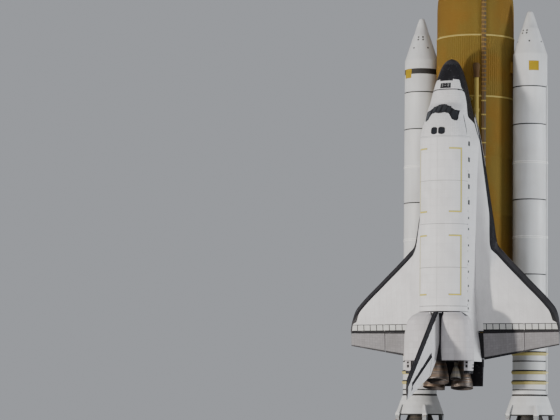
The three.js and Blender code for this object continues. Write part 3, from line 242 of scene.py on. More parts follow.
def sheet(grid, wrap=False, finish=0):
    """Quads between neighbouring points of a grid (rows, columns, xyz). wrap joins the last column
    to the first. The map of a corner is its distance along the grid both ways, in metres. finish
    is one number, or one for each quad."""
    rows, columns = grid.shape[:2]
    index = np.arange(rows * columns).reshape(rows, columns)
    whole = grid
    if wrap:
        index = np.column_stack([index, index[:, 0]])
        whole = np.concatenate([grid, grid[:, :1]], 1)
    quads = corners_of(index).reshape(-1, 4)
    across = np.linalg.norm(np.diff(whole, axis=1), axis=2).max(0)
    along = np.linalg.norm(np.diff(whole, axis=0), axis=2).max(1)
    u, v = np.concatenate([[0], across.cumsum()]), np.concatenate([[0], along.cumsum()])
    corners = corners_of(np.stack(np.meshgrid(u, v), -1)).reshape(-1, 4, 2)
    finishes = np.broadcast_to(finish, (rows - 1, index.shape[1] - 1)).reshape(-1)
    return grid.reshape(-1, 3), quads, corners, finishes


def closed(grid, finish=0):
    """A wrapped sheet whose first and last rows are drawn in to their middles, which closes it."""
    ends = [np.broadcast_to(row.mean(0), row.shape)[None] for row in (grid[0], grid[-1])]
    if np.ndim(finish) == 2:
        finish = np.vstack([finish[:1], finish, finish[-1:]])
    return sheet(np.concatenate([ends[0], grid, ends[1]]), wrap=True, finish=finish)


CREASE = radians(32)  # edges sharper than this stay sharp in the shading
SAME_PLACE = 2e-6  # metres


def assemble(name, sheets, finishes):
    """One mesh of several sheets, its doubled corners merged and every closed skin facing out."""
    counts = np.cumsum([0] + [len(s[0]) for s in sheets])
    quads = np.concatenate([s[1] + start for s, start in zip(sheets, counts)])
    mesh = bpy.data.meshes.new(name)
    mesh.vertices.add(counts[-1])
    mesh.vertices.foreach_set("co", np.concatenate([s[0] for s in sheets]).ravel())
    mesh.loops.add(quads.size)
    mesh.loops.foreach_set("vertex_index", quads.ravel().astype(np.int32))
    mesh.polygons.add(len(quads))
    mesh.polygons.foreach_set("loop_start", np.arange(0, quads.size, 4, dtype=np.int32))
    finish_numbers = np.concatenate([s[3] for s in sheets]).astype(np.int32)
    mesh.polygons.foreach_set("material_index", finish_numbers)
    mesh.uv_layers.new(name="lengths")
    mesh.uv_layers[0].data.foreach_set("uv", np.concatenate([s[2] for s in sheets]).ravel())
    mesh.update(calc_edges=True)
    form = bmesh.new()
    form.from_mesh(mesh)
    bmesh.ops.remove_doubles(form, verts=form.verts, dist=SAME_PLACE)
    bmesh.ops.dissolve_degenerate(form, edges=form.edges, dist=1e-7)
    bmesh.ops.recalc_face_normals(form, faces=form.faces)
    if form.calc_volume(signed=True) < 0:
        bmesh.ops.reverse_faces(form, faces=form.faces)
    form.to_mesh(mesh)
    form.free()
    for finish in finishes:
        mesh.materials.append(finish.material)
    mesh.shade_smooth()
    mesh.set_sharp_from_angle(angle=CREASE)
    return added(name, mesh)


def belongs(piece, body, nodes):
    """The piece rides on a body and stands for CAD nodes."""
    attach(piece, body)
    if nodes:
        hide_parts(*nodes)


def dress(name, sheets, finishes, body, nodes):
    """A finished piece of several sheets, on its body."""
    belongs(assemble(name, sheets, finishes), body, nodes)


def foam_finish(name, orange, gold, roughness=0.9):
    """Sprayed foam: two sun-tanned tones in patches and long streaks, with a pebbled surface."""
    foam = Finish(name, gold, roughness)
    foam.shader.inputs["Specular IOR Level"].default_value = 0.15
    patches = foam.step(foam.noise(0.55, 6.0), 0.38, 0.64)
    tone = foam.mix(patches, orange, gold)
    streaked = foam.mix(foam.maths("MULTIPLY", foam.streaks(0.5), 0.3), tone, [c * 0.72 for c in gold])
    specks = foam.step(foam.noise(9.0, 4.0), 0.60, 0.72)
    foam.paint(foam.mix(foam.maths("MULTIPLY", specks, 0.22), streaked, [c * 1.35 for c in gold]))
    foam.bump(foam.noise(26.0, 5.0), 0.012)
    passes = foam.noise(5.0, 2.0, stretch=(0.25, 0.25, 2.4))
    foam.bump(passes, 0.02, 0.5)
    return foam


FOAM = foam_finish("sprayed_foam", (0.190, 0.104, 0.020), (0.168, 0.113, 0.024))
TRIMMED_FOAM = foam_finish("trimmed_foam", (0.36, 0.27, 0.075), (0.40, 0.31, 0.10))
BARE_METAL = Finish("primed_metal", (0.13, 0.11, 0.08), 0.6, 0.4)
BARE_METAL.rough(BARE_METAL.noise(12.0), 0.35, 0.6)


def ogive_radius(xt):
    """The nose is an arc of a circle that meets the barrel without a corner."""
    arc = ((OGIVE_END - OGIVE_START) ** 2 + TANK_RADIUS**2) / (2 * TANK_RADIUS)
    return np.sqrt(arc**2 - (OGIVE_END - xt) ** 2) - (arc - TANK_RADIUS)


nose_stations = np.linspace(372, OGIVE_END, 56)
nose_profile = np.column_stack([ogive_radius(nose_stations), nose_stations])
oxygen_profile = np.vstack([
    [[5.2, 339.5], [9, 346], [12.6, 354], [13.8, 360], [14.0, 363], [14.0, 371]],
    nose_profile,
    [[TANK_RADIUS, xt] for xt in (770, 810, INTERTANK_START - SEAT)],
])
spike_profile = [[0.15, 322.5], [0.9, 326], [1.3, 334], [2.6, 337], [5.2, 339.3]]
dress("tank_nose", [
    closed(turned(oxygen_profile, 144)),
    closed(turned(spike_profile, 24), finish=1),
    closed(turned([[14.6, 369.6], [15.4, 371], [15.4, 374], [14.9, 376]], 72), finish=1),
], [FOAM, BARE_METAL], "stack", ["oxygen_tank"])

# Intertank: the unpressurised ring between the tanks. Over a hundred stringers stiffen its skin,
# and the foam follows them. A trimmed foam bead covers the bolted flange at each end.
STRINGERS = 108
SKIN_RISE = 1.6
FEED_ANGLE = 22.5  # round the tank from the orbiter's side towards starboard
FEED_STANDOFF = 14.0
FEED_TOP = 1043.0
FITTING_STATION = 985.0
BOOSTER_OFFSET, BOOSTER_RADIUS = 250.5, 73.0


def stringer_rise(angle):
    """Flat-topped ribs: a sine round the tank, clipped above and below."""
    return np.clip(0.5 + 1.5 * np.sin(STRINGERS * angle), 0, 1) * 1.35 - 1.35


def around(degrees, radius, side=0):
    """Inches off the tank's axis at an angle and a radius, and side inches along its skin."""
    s, c = sin(radians(degrees)), cos(radians(degrees))
    return side * c + radius * s, side * s - radius * c


def bead(xt, width, rise):
    """A low ring round the tank: a flat hump of that width on its skin."""
    shape = [(-2, 0), (rise * 0.8, 0), (rise, 0.18), (rise, 0.82), (rise * 0.8, 1), (-2, 1)]
    return turned([[TANK_RADIUS + out, xt + width * share] for out, share in shape], 144)


def tube(path, radius, sides=20, finish=0, place=stack_point):
    """A round bar along a path of points in inches: at each point a circle in the plane across
    the path. radius is one number or one for each point."""
    path = np.asarray(path, float)
    points = place(path[:, 0], path[:, 1], path[:, 2])
    along = np.gradient(points, axis=0)
    along /= np.linalg.norm(along, axis=1)[:, None]
    mean = points[-1] - points[0]
    helper = np.eye(3)[np.argmin(np.abs(mean / np.linalg.norm(mean)))]
    side = np.cross(along, helper)
    side /= np.linalg.norm(side, axis=1)[:, None]
    other = np.cross(along, side)
    angle = (np.arange(sides) * 2 * pi / sides)[None, :, None]
    spread = np.broadcast_to(radius, len(path))[:, None, None] * INCH
    grid = points[:, None] + spread * (np.cos(angle) * side[:, None] + np.sin(angle) * other[:, None])
    return closed(grid, finish)


def crate(low, high, rounding, finish=0, place=stack_point):
    """A box with rounded corners: a rounded rectangle carried from one end to the other, drawn in
    a little at both ends. place turns its three coordinates into points."""
    low, high = np.minimum(low, high).astype(float), np.maximum(low, high).astype(float)
    middle, half = (low + high) / 2, (high - low) / 2
    rounding = min(rounding, *(half * 0.9))
    turn = np.arange(16) * pi / 8 + pi / 16
    corner = np.sign(np.cos(turn)), np.sign(np.sin(turn))
    rows = [(0, rounding), (rounding * 0.3, rounding * 0.3), (rounding, 0)]
    levels = [(-half[2] + rise, inset) for rise, inset in rows]
    levels += [(-level, inset) for level, inset in levels[::-1]]
    grid = []
    for level, inset in levels:
        u = corner[0] * (half[0] - rounding) + np.cos(turn) * (rounding - inset)
        v = corner[1] * (half[1] - rounding) + np.sin(turn) * (rounding - inset)
        grid.append(place(middle[0] + u, middle[1] + v, np.full(16, middle[2] + level)))
    return closed(np.array(grid), finish)


foot_x, foot_y = around(FEED_ANGLE, TANK_RADIUS - 2)
pipe_x, pipe_y = around(FEED_ANGLE, TANK_RADIUS + FEED_STANDOFF)
bend = np.linspace(0, 1, 14)[:, None]
elbow_path = (
    (1 - bend) ** 2 * np.array([pipe_x, pipe_y, FEED_TOP - 12])
    + 2 * bend * (1 - bend) * np.array([pipe_x, pipe_y, FEED_TOP - 38])
    + bend**2 * np.array([foot_x, foot_y, FEED_TOP - 54])
)
skin_rows = INTERTANK_START + 6, INTERTANK_START + 90, INTERTANK_START + 180, INTERTANK_END - 6
ribbed = [[TANK_RADIUS + SKIN_RISE, xt] for xt in skin_rows]
ribbed = [[0, INTERTANK_START + 1], *ribbed, [0, INTERTANK_END - 1]]
fittings = [
    crate(
        (sign * (TANK_RADIUS - 6), -14, FITTING_STATION - 25),
        (sign * (BOOSTER_OFFSET - BOOSTER_RADIUS - 0.3), 14, FITTING_STATION + 25), 4,
    )
    for sign in (-1, 1)
]
# Darker foam: the cable tray's colour, and painted shade on the feed line's elbow and the top of its
# pipe, where the bend lies in shadow.
DARK_FOAM = foam_finish("darker_foam_and_painted_shade", (0.10, 0.055, 0.025), (0.13, 0.085, 0.04))
dress("intertank_ring", [
    sheet(turned(ribbed, STRINGERS * 8, ripple=stringer_rise), wrap=True),
    closed(bead(INTERTANK_START, 7, 2.6), finish=1),
    closed(bead(INTERTANK_END - 7, 7, 2.6), finish=1),
    tube(elbow_path, np.linspace(11.5, 16, 14), 28, finish=2),
    tube([[pipe_x, pipe_y, FEED_TOP - drop] for drop in (0.1, 6, 13)], [13, 13.2, 12], 28, finish=2),
    *fittings,
], [FOAM, TRIMMED_FOAM, DARK_FOAM], "stack", ["intertank"])

# Hydrogen tank: the long lower tank, a foam-covered barrel with an elliptical dome below. Its ring
# frames show as faint steps in the foam.
BARREL_END = 2058.0
DOME_HEIGHT = 115.0
swing = np.linspace(0, pi / 2, 28)
barrel = [[TANK_RADIUS, INTERTANK_END + SEAT]]
WELD_STEP = ((0, -5), (0.45, -4), (0.45, 4), (0, 5))  # rise, distance from the weld
for weld in (1377.35, 1624.5, 1871.0):
    barrel += [[TANK_RADIUS + rise, weld + step] for rise, step in WELD_STEP]
dome = np.column_stack([TANK_RADIUS * np.cos(swing), BARREL_END + DOME_HEIGHT * np.sin(swing)])
dress("hydrogen_barrel", [
    closed(turned(np.vstack([barrel, dome[:-1]]), 144)),
    closed(bead(BARREL_END - 6, 8, 1.6), finish=1),
], [FOAM, TRIMMED_FOAM], "stack", ["hydrogen_tank"])

# Oxygen feed line: a pipe down the tank's side, in foam, with bellows and clamps. Each clamp stands
# on a bracket with its own block of foam.
FEED_RADIUS = 9.5
FEED_END = 2052 - SEAT
CLAMP_STATIONS = np.linspace(INTERTANK_END + 60, FEED_END - 90, 6)
CLAMP_SWELLING = ((0, -9), (1.6, -8), (2.4, -3), (2.4, 3), (1.6, 8), (0, 9))
BELLOWS_TOP, BELLOWS_FOLDS, FOLD_LENGTH = FEED_END - 58, 7, 4
pipe = [[0, FEED_TOP]]
pipe += [[rise, clamp + step] for clamp in CLAMP_STATIONS for rise, step in CLAMP_SWELLING]
pipe += [[0, BELLOWS_TOP - 2]]
for fold in range(BELLOWS_FOLDS):
    top = BELLOWS_TOP + FOLD_LENGTH * fold
    pipe += [[1.4, top], [0.2, top + FOLD_LENGTH / 2]]
pipe += [[0, FEED_END - 26], [0, FEED_END]]
pipe = [[FEED_RADIUS + rise, xt] for rise, xt in pipe]


def beside_pipe(side, out, xt):
    """Points beside the pipe's line: side along the skin, out from the tank's axis."""
    return stack_point(*around(FEED_ANGLE, out, side), xt)


bracket_blocks = [
    crate((-7, TANK_RADIUS - 1.5, xt - 9), (7, TANK_RADIUS + 5.5, xt + 9), 3, 1, beside_pipe)
    for xt in CLAMP_STATIONS
]
pipe_sheet = closed(turned(pipe, 40, pipe_x, pipe_y), finish=1)
dress("feed_pipe", [pipe_sheet, *bracket_blocks], [FOAM, TRIMMED_FOAM],
      "stack", ["oxygen_feed_line"])

# Cable tray and gas lines: a covered tray and two thin pipes up the tank's side, held every few
# feet by clamps, each under a small wedge of foam that keeps ice off it.
TRAY_ANGLE = 32.0
TRAY_TOP, TRAY_END = 420.0, 2046.0
TRAY_HALF = 6.0
GAS_LINES = (7.4, 11.2)
GAS_LINE_RADIUS = 1.6


def on_tank(side, out, xt):
    """Points beside the tray's line: side along the skin, out from the tank's skin radius."""
    skin = np.where(xt < OGIVE_END, ogive_radius(np.minimum(xt, OGIVE_END)), TANK_RADIUS)
    return stack_point(*around(TRAY_ANGLE, skin + out, side), xt)


upper_part, lower_part = np.linspace(TRAY_TOP, OGIVE_END, 30), np.linspace(760, TRAY_END, 40)
tray_stations = np.concatenate([upper_part, lower_part])[:, None]
section = np.array([[-1, -4.5], [-1, 5.4], [-0.86, 6.3], [0.86, 6.3], [1, 5.4], [1, -4.5]])
tray_grid = on_tank(section[:, 0] * TRAY_HALF, section[:, 1], tray_stations)
ring_angle = np.arange(14) * 2 * pi / 14
ring_side = GAS_LINE_RADIUS * np.cos(ring_angle)
ring_out = 2.4 + GAS_LINE_RADIUS * np.sin(ring_angle)
gas_grids = [on_tank(offset + ring_side, ring_out, tray_stations) for offset in GAS_LINES]
upper_clamps = [
    crate((-7.2, -3, xt - 3.2), (13.4, 7.0, xt + 3.2), 1.6, 3, on_tank)
    for xt in np.arange(432, 1116, 19.0)
]
lower_clamps = [
    crate((-7.2, -3, xt - 3), (13.4, 7.2, xt + 3), 1.6, 1, on_tank)
    for xt in np.arange(1140, TRAY_END - 20, 60.0)
]
CLAMP_FOAM = foam_finish("clamp_foam", (0.20, 0.11, 0.03), (0.24, 0.15, 0.045))
dress("tray_and_gas_lines", [
    closed(tray_grid),
    *[closed(grid, finish=2) for grid in gas_grids],
    *upper_clamps,
    *lower_clamps,
], [DARK_FOAM, TRIMMED_FOAM, BARE_METAL, CLAMP_FOAM], "stack", ["tank_cable_tray"])

# Forward attachment: two legs from the tank meet in one fitting under the nose. Foam ramps cover
# their feet, and the legs are forged bars that are left bare.
ORBITER_TO_TANK = 741.0
BIPOD_STATION = 388.0 + ORBITER_TO_TANK
BIPOD_HALF_SPAN = 42.0
NOSE_BELLY = -225.6  # the belly's y at the bipod


def bar(start, end, radius, sides=20, finish=0, place=stack_point):
    """A straight round bar with slightly rounded ends."""
    start, end = np.asarray(start, float), np.asarray(end, float)
    length = np.linalg.norm(end - start)
    edge = min(0.15 * radius / length, 0.2)
    shares = np.array([0, edge, 0.5, 1 - edge, 1])
    swell = np.array([0.85, 1, 1, 1, 0.85]) * radius
    return tube(start + shares[:, None] * (end - start), swell, sides, finish, place)


bipod_foot = -sqrt(TANK_RADIUS**2 - BIPOD_HALF_SPAN**2)
foot_station = BIPOD_STATION + 4
legs = []
for sign in (-1, 1):
    x = sign * BIPOD_HALF_SPAN
    ramp = [(x, bipod_foot + out, foot_station) for out in (4, 0, -3, -5, -6)]
    knee = (x - sign * 1.3, bipod_foot - 8, foot_station)
    legs += [
        bar((x, bipod_foot + 3, foot_station), (sign * 2, NOSE_BELLY + 7, BIPOD_STATION), 3.1, finish=2),
        bar((x, bipod_foot - 4.5, foot_station), knee, 4.6, finish=2),
        tube(ramp, [8, 7.8, 7.2, 6.4, 5.6], finish=1),
    ]
yoke_low = (-5.6, NOSE_BELLY + 10, BIPOD_STATION - 5.8)
yoke_high = (5.6, NOSE_BELLY + 0.4, BIPOD_STATION + 5.8)
pin = [(x, NOSE_BELLY + 6.4, BIPOD_STATION) for x in (-7.5, 7.5)]
yoke = [crate(yoke_low, yoke_high, 1.6, finish=2), bar(*pin, 1.7, finish=2)]
dress("bipod", legs + yoke, [FOAM, TRIMMED_FOAM, BARE_METAL],
      "stack", ["forward_bipod_strut"])

# Aft attachment: a foam-covered cross beam carries the orbiter on two ball posts. Struts spread its
# load into the tank, and the propellant and cable plates stand beside the posts.
AFT_STATION = 1317.0 + ORBITER_TO_TANK
AFT_BELLY = -204.8
BEAM_Y = -184.0
POST_X = 96.5
UMBILICAL_X = 70.0
FRAME_FOOT = AFT_STATION - 164  # the long braces' feet on the tank
beam_low = (-POST_X - 5.8, BEAM_Y - 4.8, AFT_STATION - 5.8)
beam_high = (POST_X + 5.8, BEAM_Y + 4.8, AFT_STATION + 5.8)
braces = [crate(beam_low, beam_high, 1.4)]
for sign in (-1, 1):
    x = sign * POST_X
    long_foot = (sign * 122, -109, FRAME_FOOT)
    long_boot = [(sign * 119, -113, FRAME_FOOT + 14), long_foot, (sign * 124, -105.5, FRAME_FOOT - 10)]
    collar = [(x, BEAM_Y - down, AFT_STATION) for down in (3, 6, 8, 9)]
    braces += [
        bar((x, BEAM_Y, AFT_STATION), (x, AFT_BELLY + 0.6, AFT_STATION), 6.4, 24, finish=1),
        tube(collar, [8, 8, 7.4, 6.6], 24, finish=1),
        bar((x - sign * 4, BEAM_Y, AFT_STATION), (sign * 70, -147.5, AFT_STATION), 4.9),
        bar((x + sign * 3, BEAM_Y + 1, AFT_STATION), long_foot, 6.4, 24),
        tube(long_boot, [7.6, 9.4, 8.6], 24, finish=1),
        bar((sign * 10, BEAM_Y, AFT_STATION), (sign * 52, -155.5, AFT_STATION + 1), 3.9),
    ]
    boxes = [
        # half width, near and far y, upper and lower station, rounding, finish
        (19.6, AFT_BELLY + 0.6, AFT_BELLY + 6, 9, 60, 1.0, 2),  # umbilical plate
        (16, AFT_BELLY + 5, BEAM_Y + 23.6, 12, 56, 5, 0),  # the box behind it
        (6, BEAM_Y - 4, BEAM_Y + 4, 1, 20, 1, 0),  # the box's arm
    ]
    for half, near, far, upper, lower, rounding, kind in boxes:
        low = sign * (UMBILICAL_X - half), near, AFT_STATION + upper
        high = sign * (UMBILICAL_X + half), far, AFT_STATION + lower
        braces.append(crate(low, high, rounding, kind))
    x = sign * (UMBILICAL_X - 9)
    pipe = (x, AFT_BELLY + 9, AFT_STATION + 15), (x, -166, AFT_STATION - 6)
    braces.append(bar(*pipe, 4.4, finish=1))
dress("aft_attachment_braces", braces, [FOAM, TRIMMED_FOAM, BARE_METAL],
      "stack", ["aft_orbiter_attachment"])

# Boosters: steel motor cases painted white, built of segments pinned at field joints, under a
# riveted forward skirt and a cork-covered frustum and cap. A cable tunnel runs down each outer
# side, stiffener rings and a flared skirt take the loads at the foot.
SIDES = (("port", -1), ("starboard", 1))
BOOSTER_TO_TANK = 543.0
NOSE_TOP, SKIRT_START, CASE_START, CASE_END, SKIRT_BASE = 200.0, 395.0, 523.0, 1840.0, 1930.64
ATTACH_RING = 1511.0
FACTORY_JOINTS = (532.5, 694.0, 1016.0, 1334.0)
FIELD_JOINTS = (857.0, 1176.0, 1491.5)
STIFFENERS = (1668.0, 1747.0, 1790.0)
AFT_SEALS = (1701.0, 1822.0)
WHITE, SEAL, LIGHT_BAND, FOAM_BAND, PATCH = range(5)


def booster_paint(name, colour, roughness):
    """Gloss paint dulled by weather: faint vertical streaks, dusty patches and fine scuffs."""
    paint = Finish(name, colour, roughness)
    dust = paint.step(paint.noise(0.7, 5.0), 0.42, 0.68)
    dusty = (colour[0] * 0.8, colour[1] * 0.78, colour[2] * 0.74)
    worn = paint.mix(paint.maths("MULTIPLY", dust, 0.35), colour, dusty)
    run_off = paint.maths("MULTIPLY", paint.streaks(0.3, 3.2, 0.07), 0.16)
    paint.paint(paint.mix(run_off, worn, (0.40, 0.38, 0.34)))
    paint.rough(paint.noise(3.0, 4.0), roughness - 0.08, roughness + 0.2)
    paint.bump(paint.noise(7.0, 3.0), 0.004, 0.5)
    return paint


def mottled(name, colour, roughness, scale, first, second, detail=3.0):
    """A material whose colour wanders between two tones."""
    mixed = Finish(name, colour, roughness)
    mixed.paint(mixed.mix(mixed.noise(scale, detail), first, second))
    return mixed


BOOSTER_WHITE = booster_paint("booster_white", (0.65, 0.655, 0.66), 0.42)
JOINT_SEAL = mottled(
    "joint_seal", (0.035, 0.032, 0.03), 0.7, 8.0, (0.012, 0.011, 0.011), (0.032, 0.029, 0.027),
)
BRIGHT_BAND = booster_paint("bright_band", (0.84, 0.84, 0.83), 0.3)
JOINT_FOAM = foam_finish("joint_foam", (0.50, 0.42, 0.16), (0.60, 0.52, 0.26), 0.8)
CORK_PATCH = foam_finish("cork_patch", (0.33, 0.22, 0.012), (0.38, 0.26, 0.018), 0.7)
BOOSTER_FINISHES = [BOOSTER_WHITE, JOINT_SEAL, BRIGHT_BAND, JOINT_FOAM, CORK_PATCH]


def around_booster(sign):
    """Points beside one booster's axis from x, y and a booster station."""
    return lambda x, y, xb: stack_point(sign * BOOSTER_OFFSET + x, y, xb + BOOSTER_TO_TANK)


def banded(rows, steps, place):
    """A turned skin from rows of radius, station and the finish of the strip below the row."""
    rows = np.asarray(rows, float)
    radius, station, finish = rows.T
    grid = turned(np.column_stack([radius, station]), steps, place=place)
    return grid, np.repeat(finish[:-1, None], steps, axis=1).astype(int)


def hoop(grid):
    """A sheet whose rows and columns both run round and meet themselves."""
    return sheet(np.concatenate([grid, grid[:1]]), wrap=True)


def ring_rows(xb, shape):
    """Rows of a ring round the case from rows of rise over it, place off its middle, finish."""
    return [(BOOSTER_RADIUS + rise, xb + step, kind) for rise, step, kind in shape]


def flat_ring(width, rise, finish):
    """The shape of a plain raised ring."""
    foot = width / 2 + 0.5
    return [(0, -foot, finish), (rise, -width / 2, finish), (rise, width / 2, finish), (0, foot, WHITE)]


NOSE_SHAPE = [
    # radius, distance below the tip: the cap, its rim, the frustum and its rim
    (0.2, 0), (3.6, 0.4), (6.5, 1.4), (9.2, 3), (11.2, 5.5), (12.6, 8.2), (13.6, 11), (23, 38),
    (34, 75), (35.1, 76), (35.7, 77.6), (54.5, 134), (72.4, 189.4), (72.9, 191),
    (BOOSTER_RADIUS, 192.5), (BOOSTER_RADIUS, SKIRT_START - SEAT - NOSE_TOP),
]
FRUSTUM_TOP, FRUSTUM_RADIUS = 276, 35.5
CONE_SLOPE = atan((BOOSTER_RADIUS - FRUSTUM_RADIUS) / 115)
NOSE_PORTS = [
    # degrees outboard of the orbiter's side, station
    (-1, 288), (-1, 300), (-29, 288), (-29, 300), (-51, 337), (15.5, 337), (77, 337),
]
COLLAR_STEPS, PATCH_TURN, PATCH_HALF = 144, 33, 18.2  # the patch lies outboard of the orbiter's side
COLLAR_ROWS = (424, 430, 454, 466, 471, 496, CASE_START - 1.5, CASE_START - SEAT)
FIELD_RING = [
    (0, -5.5, LIGHT_BAND), (1.2, -4.5, LIGHT_BAND), (1.2, -0.3, SEAL), (1.2, 0.3, LIGHT_BAND),
    (1.2, 4.5, LIGHT_BAND), (0, 5.5, WHITE),
]
# A stiffener ring: dark on its upper slope, then foam-coloured over its face and lower slope.
STIFF_RING = [
    (0, -9, SEAL), (2, -7, SEAL), (4.8, -3.2, SEAL), (5, -3, FOAM_BAND), (5, 2.6, FOAM_BAND),
    (4.6, 3, FOAM_BAND), (2, 7, FOAM_BAND), (0, 9.5, WHITE),
]
CASE_RINGS = (
    (FACTORY_JOINTS + AFT_SEALS, flat_ring(4.0, 0.2, SEAL)), (FIELD_JOINTS, FIELD_RING),
    (STIFFENERS, STIFF_RING),
)
ATTACH_CHANNEL = [
    # radius, distance from the ring's middle
    (73.02, -6), (81, -6), (82, -5), (82, -3.4), (78.4, -2.6),
    (78.4, 2.6), (82, 3.4), (82, 5), (81, 6), (73.02, 6),
]
SQUARE = np.array([[-1, 1, 1, -1], [-1, -1, 1, 1]])
SKIRT_LENGTH = SKIRT_BASE - CASE_END
SKIRT_SHAPE = [
    # radius, distance below the case, finish of the strip below
    (69.4, SEAT, WHITE), (73.4, SEAT, SEAL), (73.8, 2, SEAL), (75.6, 8, WHITE), (84.2, 31.5, WHITE),
    (84.9, 32.6, WHITE), (85.7, 35.2, WHITE), (86, 36.5, WHITE), (93.5, 58.6, WHITE),
    (94.3, 59.6, WHITE), (95.1, 62.2, WHITE), (95.6, 63.8, WHITE), (103.1, SKIRT_LENGTH - 5, SEAL),
    (104.1, SKIRT_LENGTH - 3.6, SEAL), (104.1, SKIRT_LENGTH, SEAL), (97.3, SKIRT_LENGTH, SEAL),
]
POST_PLACES = (62.0, 94.0)  # the posts' and lugs' places off a booster's axis
LUG_LEVELS = [
    # share of the foot's place, half width, height over the skirt's base
    (1, 8.2, 0), (1, 8.6, 1), (1, 8.6, 7), (1, 7.4, 9), (0.86, 4.6, 43), (0.86, 4.0, 44),
]


for side, sign in SIDES:
    place = around_booster(sign)
    cone = closed(turned([(radius, NOSE_TOP + below) for radius, below in NOSE_SHAPE], 96, place=place))
    ports = []
    for turn, xb in NOSE_PORTS:
        radius = FRUSTUM_RADIUS + (xb - FRUSTUM_TOP) * tan(CONE_SLOPE)
        outward = np.array([*around(turn * sign, cos(CONE_SLOPE)), -sin(CONE_SLOPE)])
        centre = np.array([*around(turn * sign, radius), xb])
        ports.append(bar(centre - 2 * outward, centre + 0.7 * outward, 4.0, 20, SEAL, place))
    dress(f"booster_cone_{side}", [cone, *ports], BOOSTER_FINISHES,
          "stack", [f"booster_nose_{side}"])

    collar = [(BOOSTER_RADIUS, xb, WHITE) for xb in (SKIRT_START, SKIRT_START + 1.2)]
    for xb in (404, 417):
        collar += ring_rows(xb, flat_ring(1.4, 0.35, WHITE))
    collar += [(BOOSTER_RADIUS, xb, WHITE) for xb in COLLAR_ROWS]
    grid, finish = banded(collar, COLLAR_STEPS, place)
    turn = (np.arange(COLLAR_STEPS) + 0.5) * 360 / COLLAR_STEPS - PATCH_TURN * sign
    patch = (np.abs((turn + 180) % 360 - 180) < PATCH_HALF)[None, :]
    rows = np.array(collar)[:-1, 1][:, None]
    if side == "port":
        finish[np.broadcast_to((rows >= 430) & (rows < 454), finish.shape)] = SEAL
    patch_start, patch_end = (430, 471) if side == "port" else (424, 466)
    finish[patch & (rows >= patch_start) & (rows < patch_end)] = PATCH
    dress(f"booster_skirt_ring_{side}", [closed(grid, finish)], BOOSTER_FINISHES,
          "stack", [f"booster_forward_skirt_{side}"])

    case = [(BOOSTER_RADIUS, xb, WHITE) for xb in (CASE_START, CASE_START + 1, CASE_END)]
    for places, shape in CASE_RINGS:
        for xb in places:
            case += ring_rows(xb, shape)
    grid, finish = banded(sorted(case, key=lambda row: row[1]), 120, place)
    tunnel = crate((sign * 70, -5, CASE_START + 2), (sign * 78, 5, CASE_END - 2), 2.4, place=place)
    covers = [
        crate((sign * 72, -6.2, xb - 6), (sign * 78.6, 6.2, xb + 6), 1.2, LIGHT_BAND, place)
        for xb in FIELD_JOINTS
    ]
    dress(f"motor_case_{side}", [closed(grid, finish), tunnel, *covers], BOOSTER_FINISHES,
          "stack", [f"booster_case_{side}"])

    ring = turned([[radius, ATTACH_RING + step] for radius, step in ATTACH_CHANNEL], 96, place=place)
    struts = []
    for ring_y, tank_y in ((-48, -48), (48, 48), (46, -10)):
        start = np.array([-sign * 60.0, ring_y, ATTACH_RING])
        reach = BOOSTER_OFFSET - sqrt(TANK_RADIUS**2 - tank_y**2)
        end = np.array([-sign * reach, tank_y, ATTACH_RING])
        lean = (end - start) / np.linalg.norm(end - start)
        struts += [
            bar(start, end, 3.7, place=place),
            bar(end - 7 * lean, end, 4.5, finish=SEAL, place=place),
            bar(start, start + 9 * lean, 4.5, finish=SEAL, place=place),
        ]
    dress(f"attach_ring_and_struts_{side}", [hoop(ring), *struts], BOOSTER_FINISHES,
          "stack", [f"booster_attach_ring_{side}"])

    skirt = [(radius, CASE_END + below, kind) for radius, below, kind in SKIRT_SHAPE]
    grid, finish = banded(skirt + skirt[:1], 120, place)
    lugs = []
    for sx in (-1, 1):
        for sy in (-1, 1):
            foot = np.array([[sx], [sy]]) * np.reshape(POST_PLACES, (2, 1))
            lugs.append(closed(np.array([
                place(*(foot * lean + half * SQUARE), np.full(4, SKIRT_BASE - rise))
                for lean, half, rise in LUG_LEVELS
            ])))
    skin = sheet(grid, wrap=True, finish=finish)
    dress(f"flared_skirt_{side}", [skin, *lugs], BOOSTER_FINISHES,
          "stack", [f"booster_aft_skirt_{side}"])

# Booster nozzles: carbon-phenolic cones in a steel shell, on a flexible bearing. Rings stiffen the
# outside, and the inside is charred-looking liner.
NOZZLE_PIVOT = 1868.0
NOZZLE_BALL = NOZZLE_PIVOT - CASE_END - SEAT
NOZZLE_RIDGES = ((48, 44.3), (66, 51.6), (84, 59.2), (102, 66.6))  # below the pivot, radius
RIDGE = ((0, -1), (1.5, -0.8), (2.1, 0.8), (0.9, 1))  # rise, distance from the ridge's middle
LIP_AND_BORE = [
    # radius, distance below the pivot, 0 for the shell and 1 for the liner
    (73.9, 120, 0), (74.8, 120.6, 0), (74.8, 122.5, 1), (71.8, 122.5, 1), (58, 90, 1), (44, 60, 1),
    (31, 34, 1), (20, 18, 1), (0.1, 8, 1),
]


def nozzle_finish(name, colour, hot, roughness, metallic):
    """Heat-marked metal: rings of tint down the height, soot patches and machining lines."""
    metal = Finish(name, colour, roughness, metallic)
    height = metal.part_of(metal.place(), 2)
    rings = metal.noise(9.0, 2.0, stretch=(0.02, 0.02, 1.0))
    tint = metal.mix(metal.step(rings, 0.4, 0.66), colour, hot)
    soot = metal.step(metal.noise(2.2, 5.0), 0.45, 0.7)
    metal.paint(metal.mix(metal.maths("MULTIPLY", soot, 0.5), tint, (0.02, 0.018, 0.018)))
    metal.rough(metal.noise(6.0), roughness - 0.1, roughness + 0.2)
    lines = metal.maths("SINE", metal.maths("MULTIPLY", height, 400))
    metal.bump(lines, 0.0015, 0.4)
    return metal


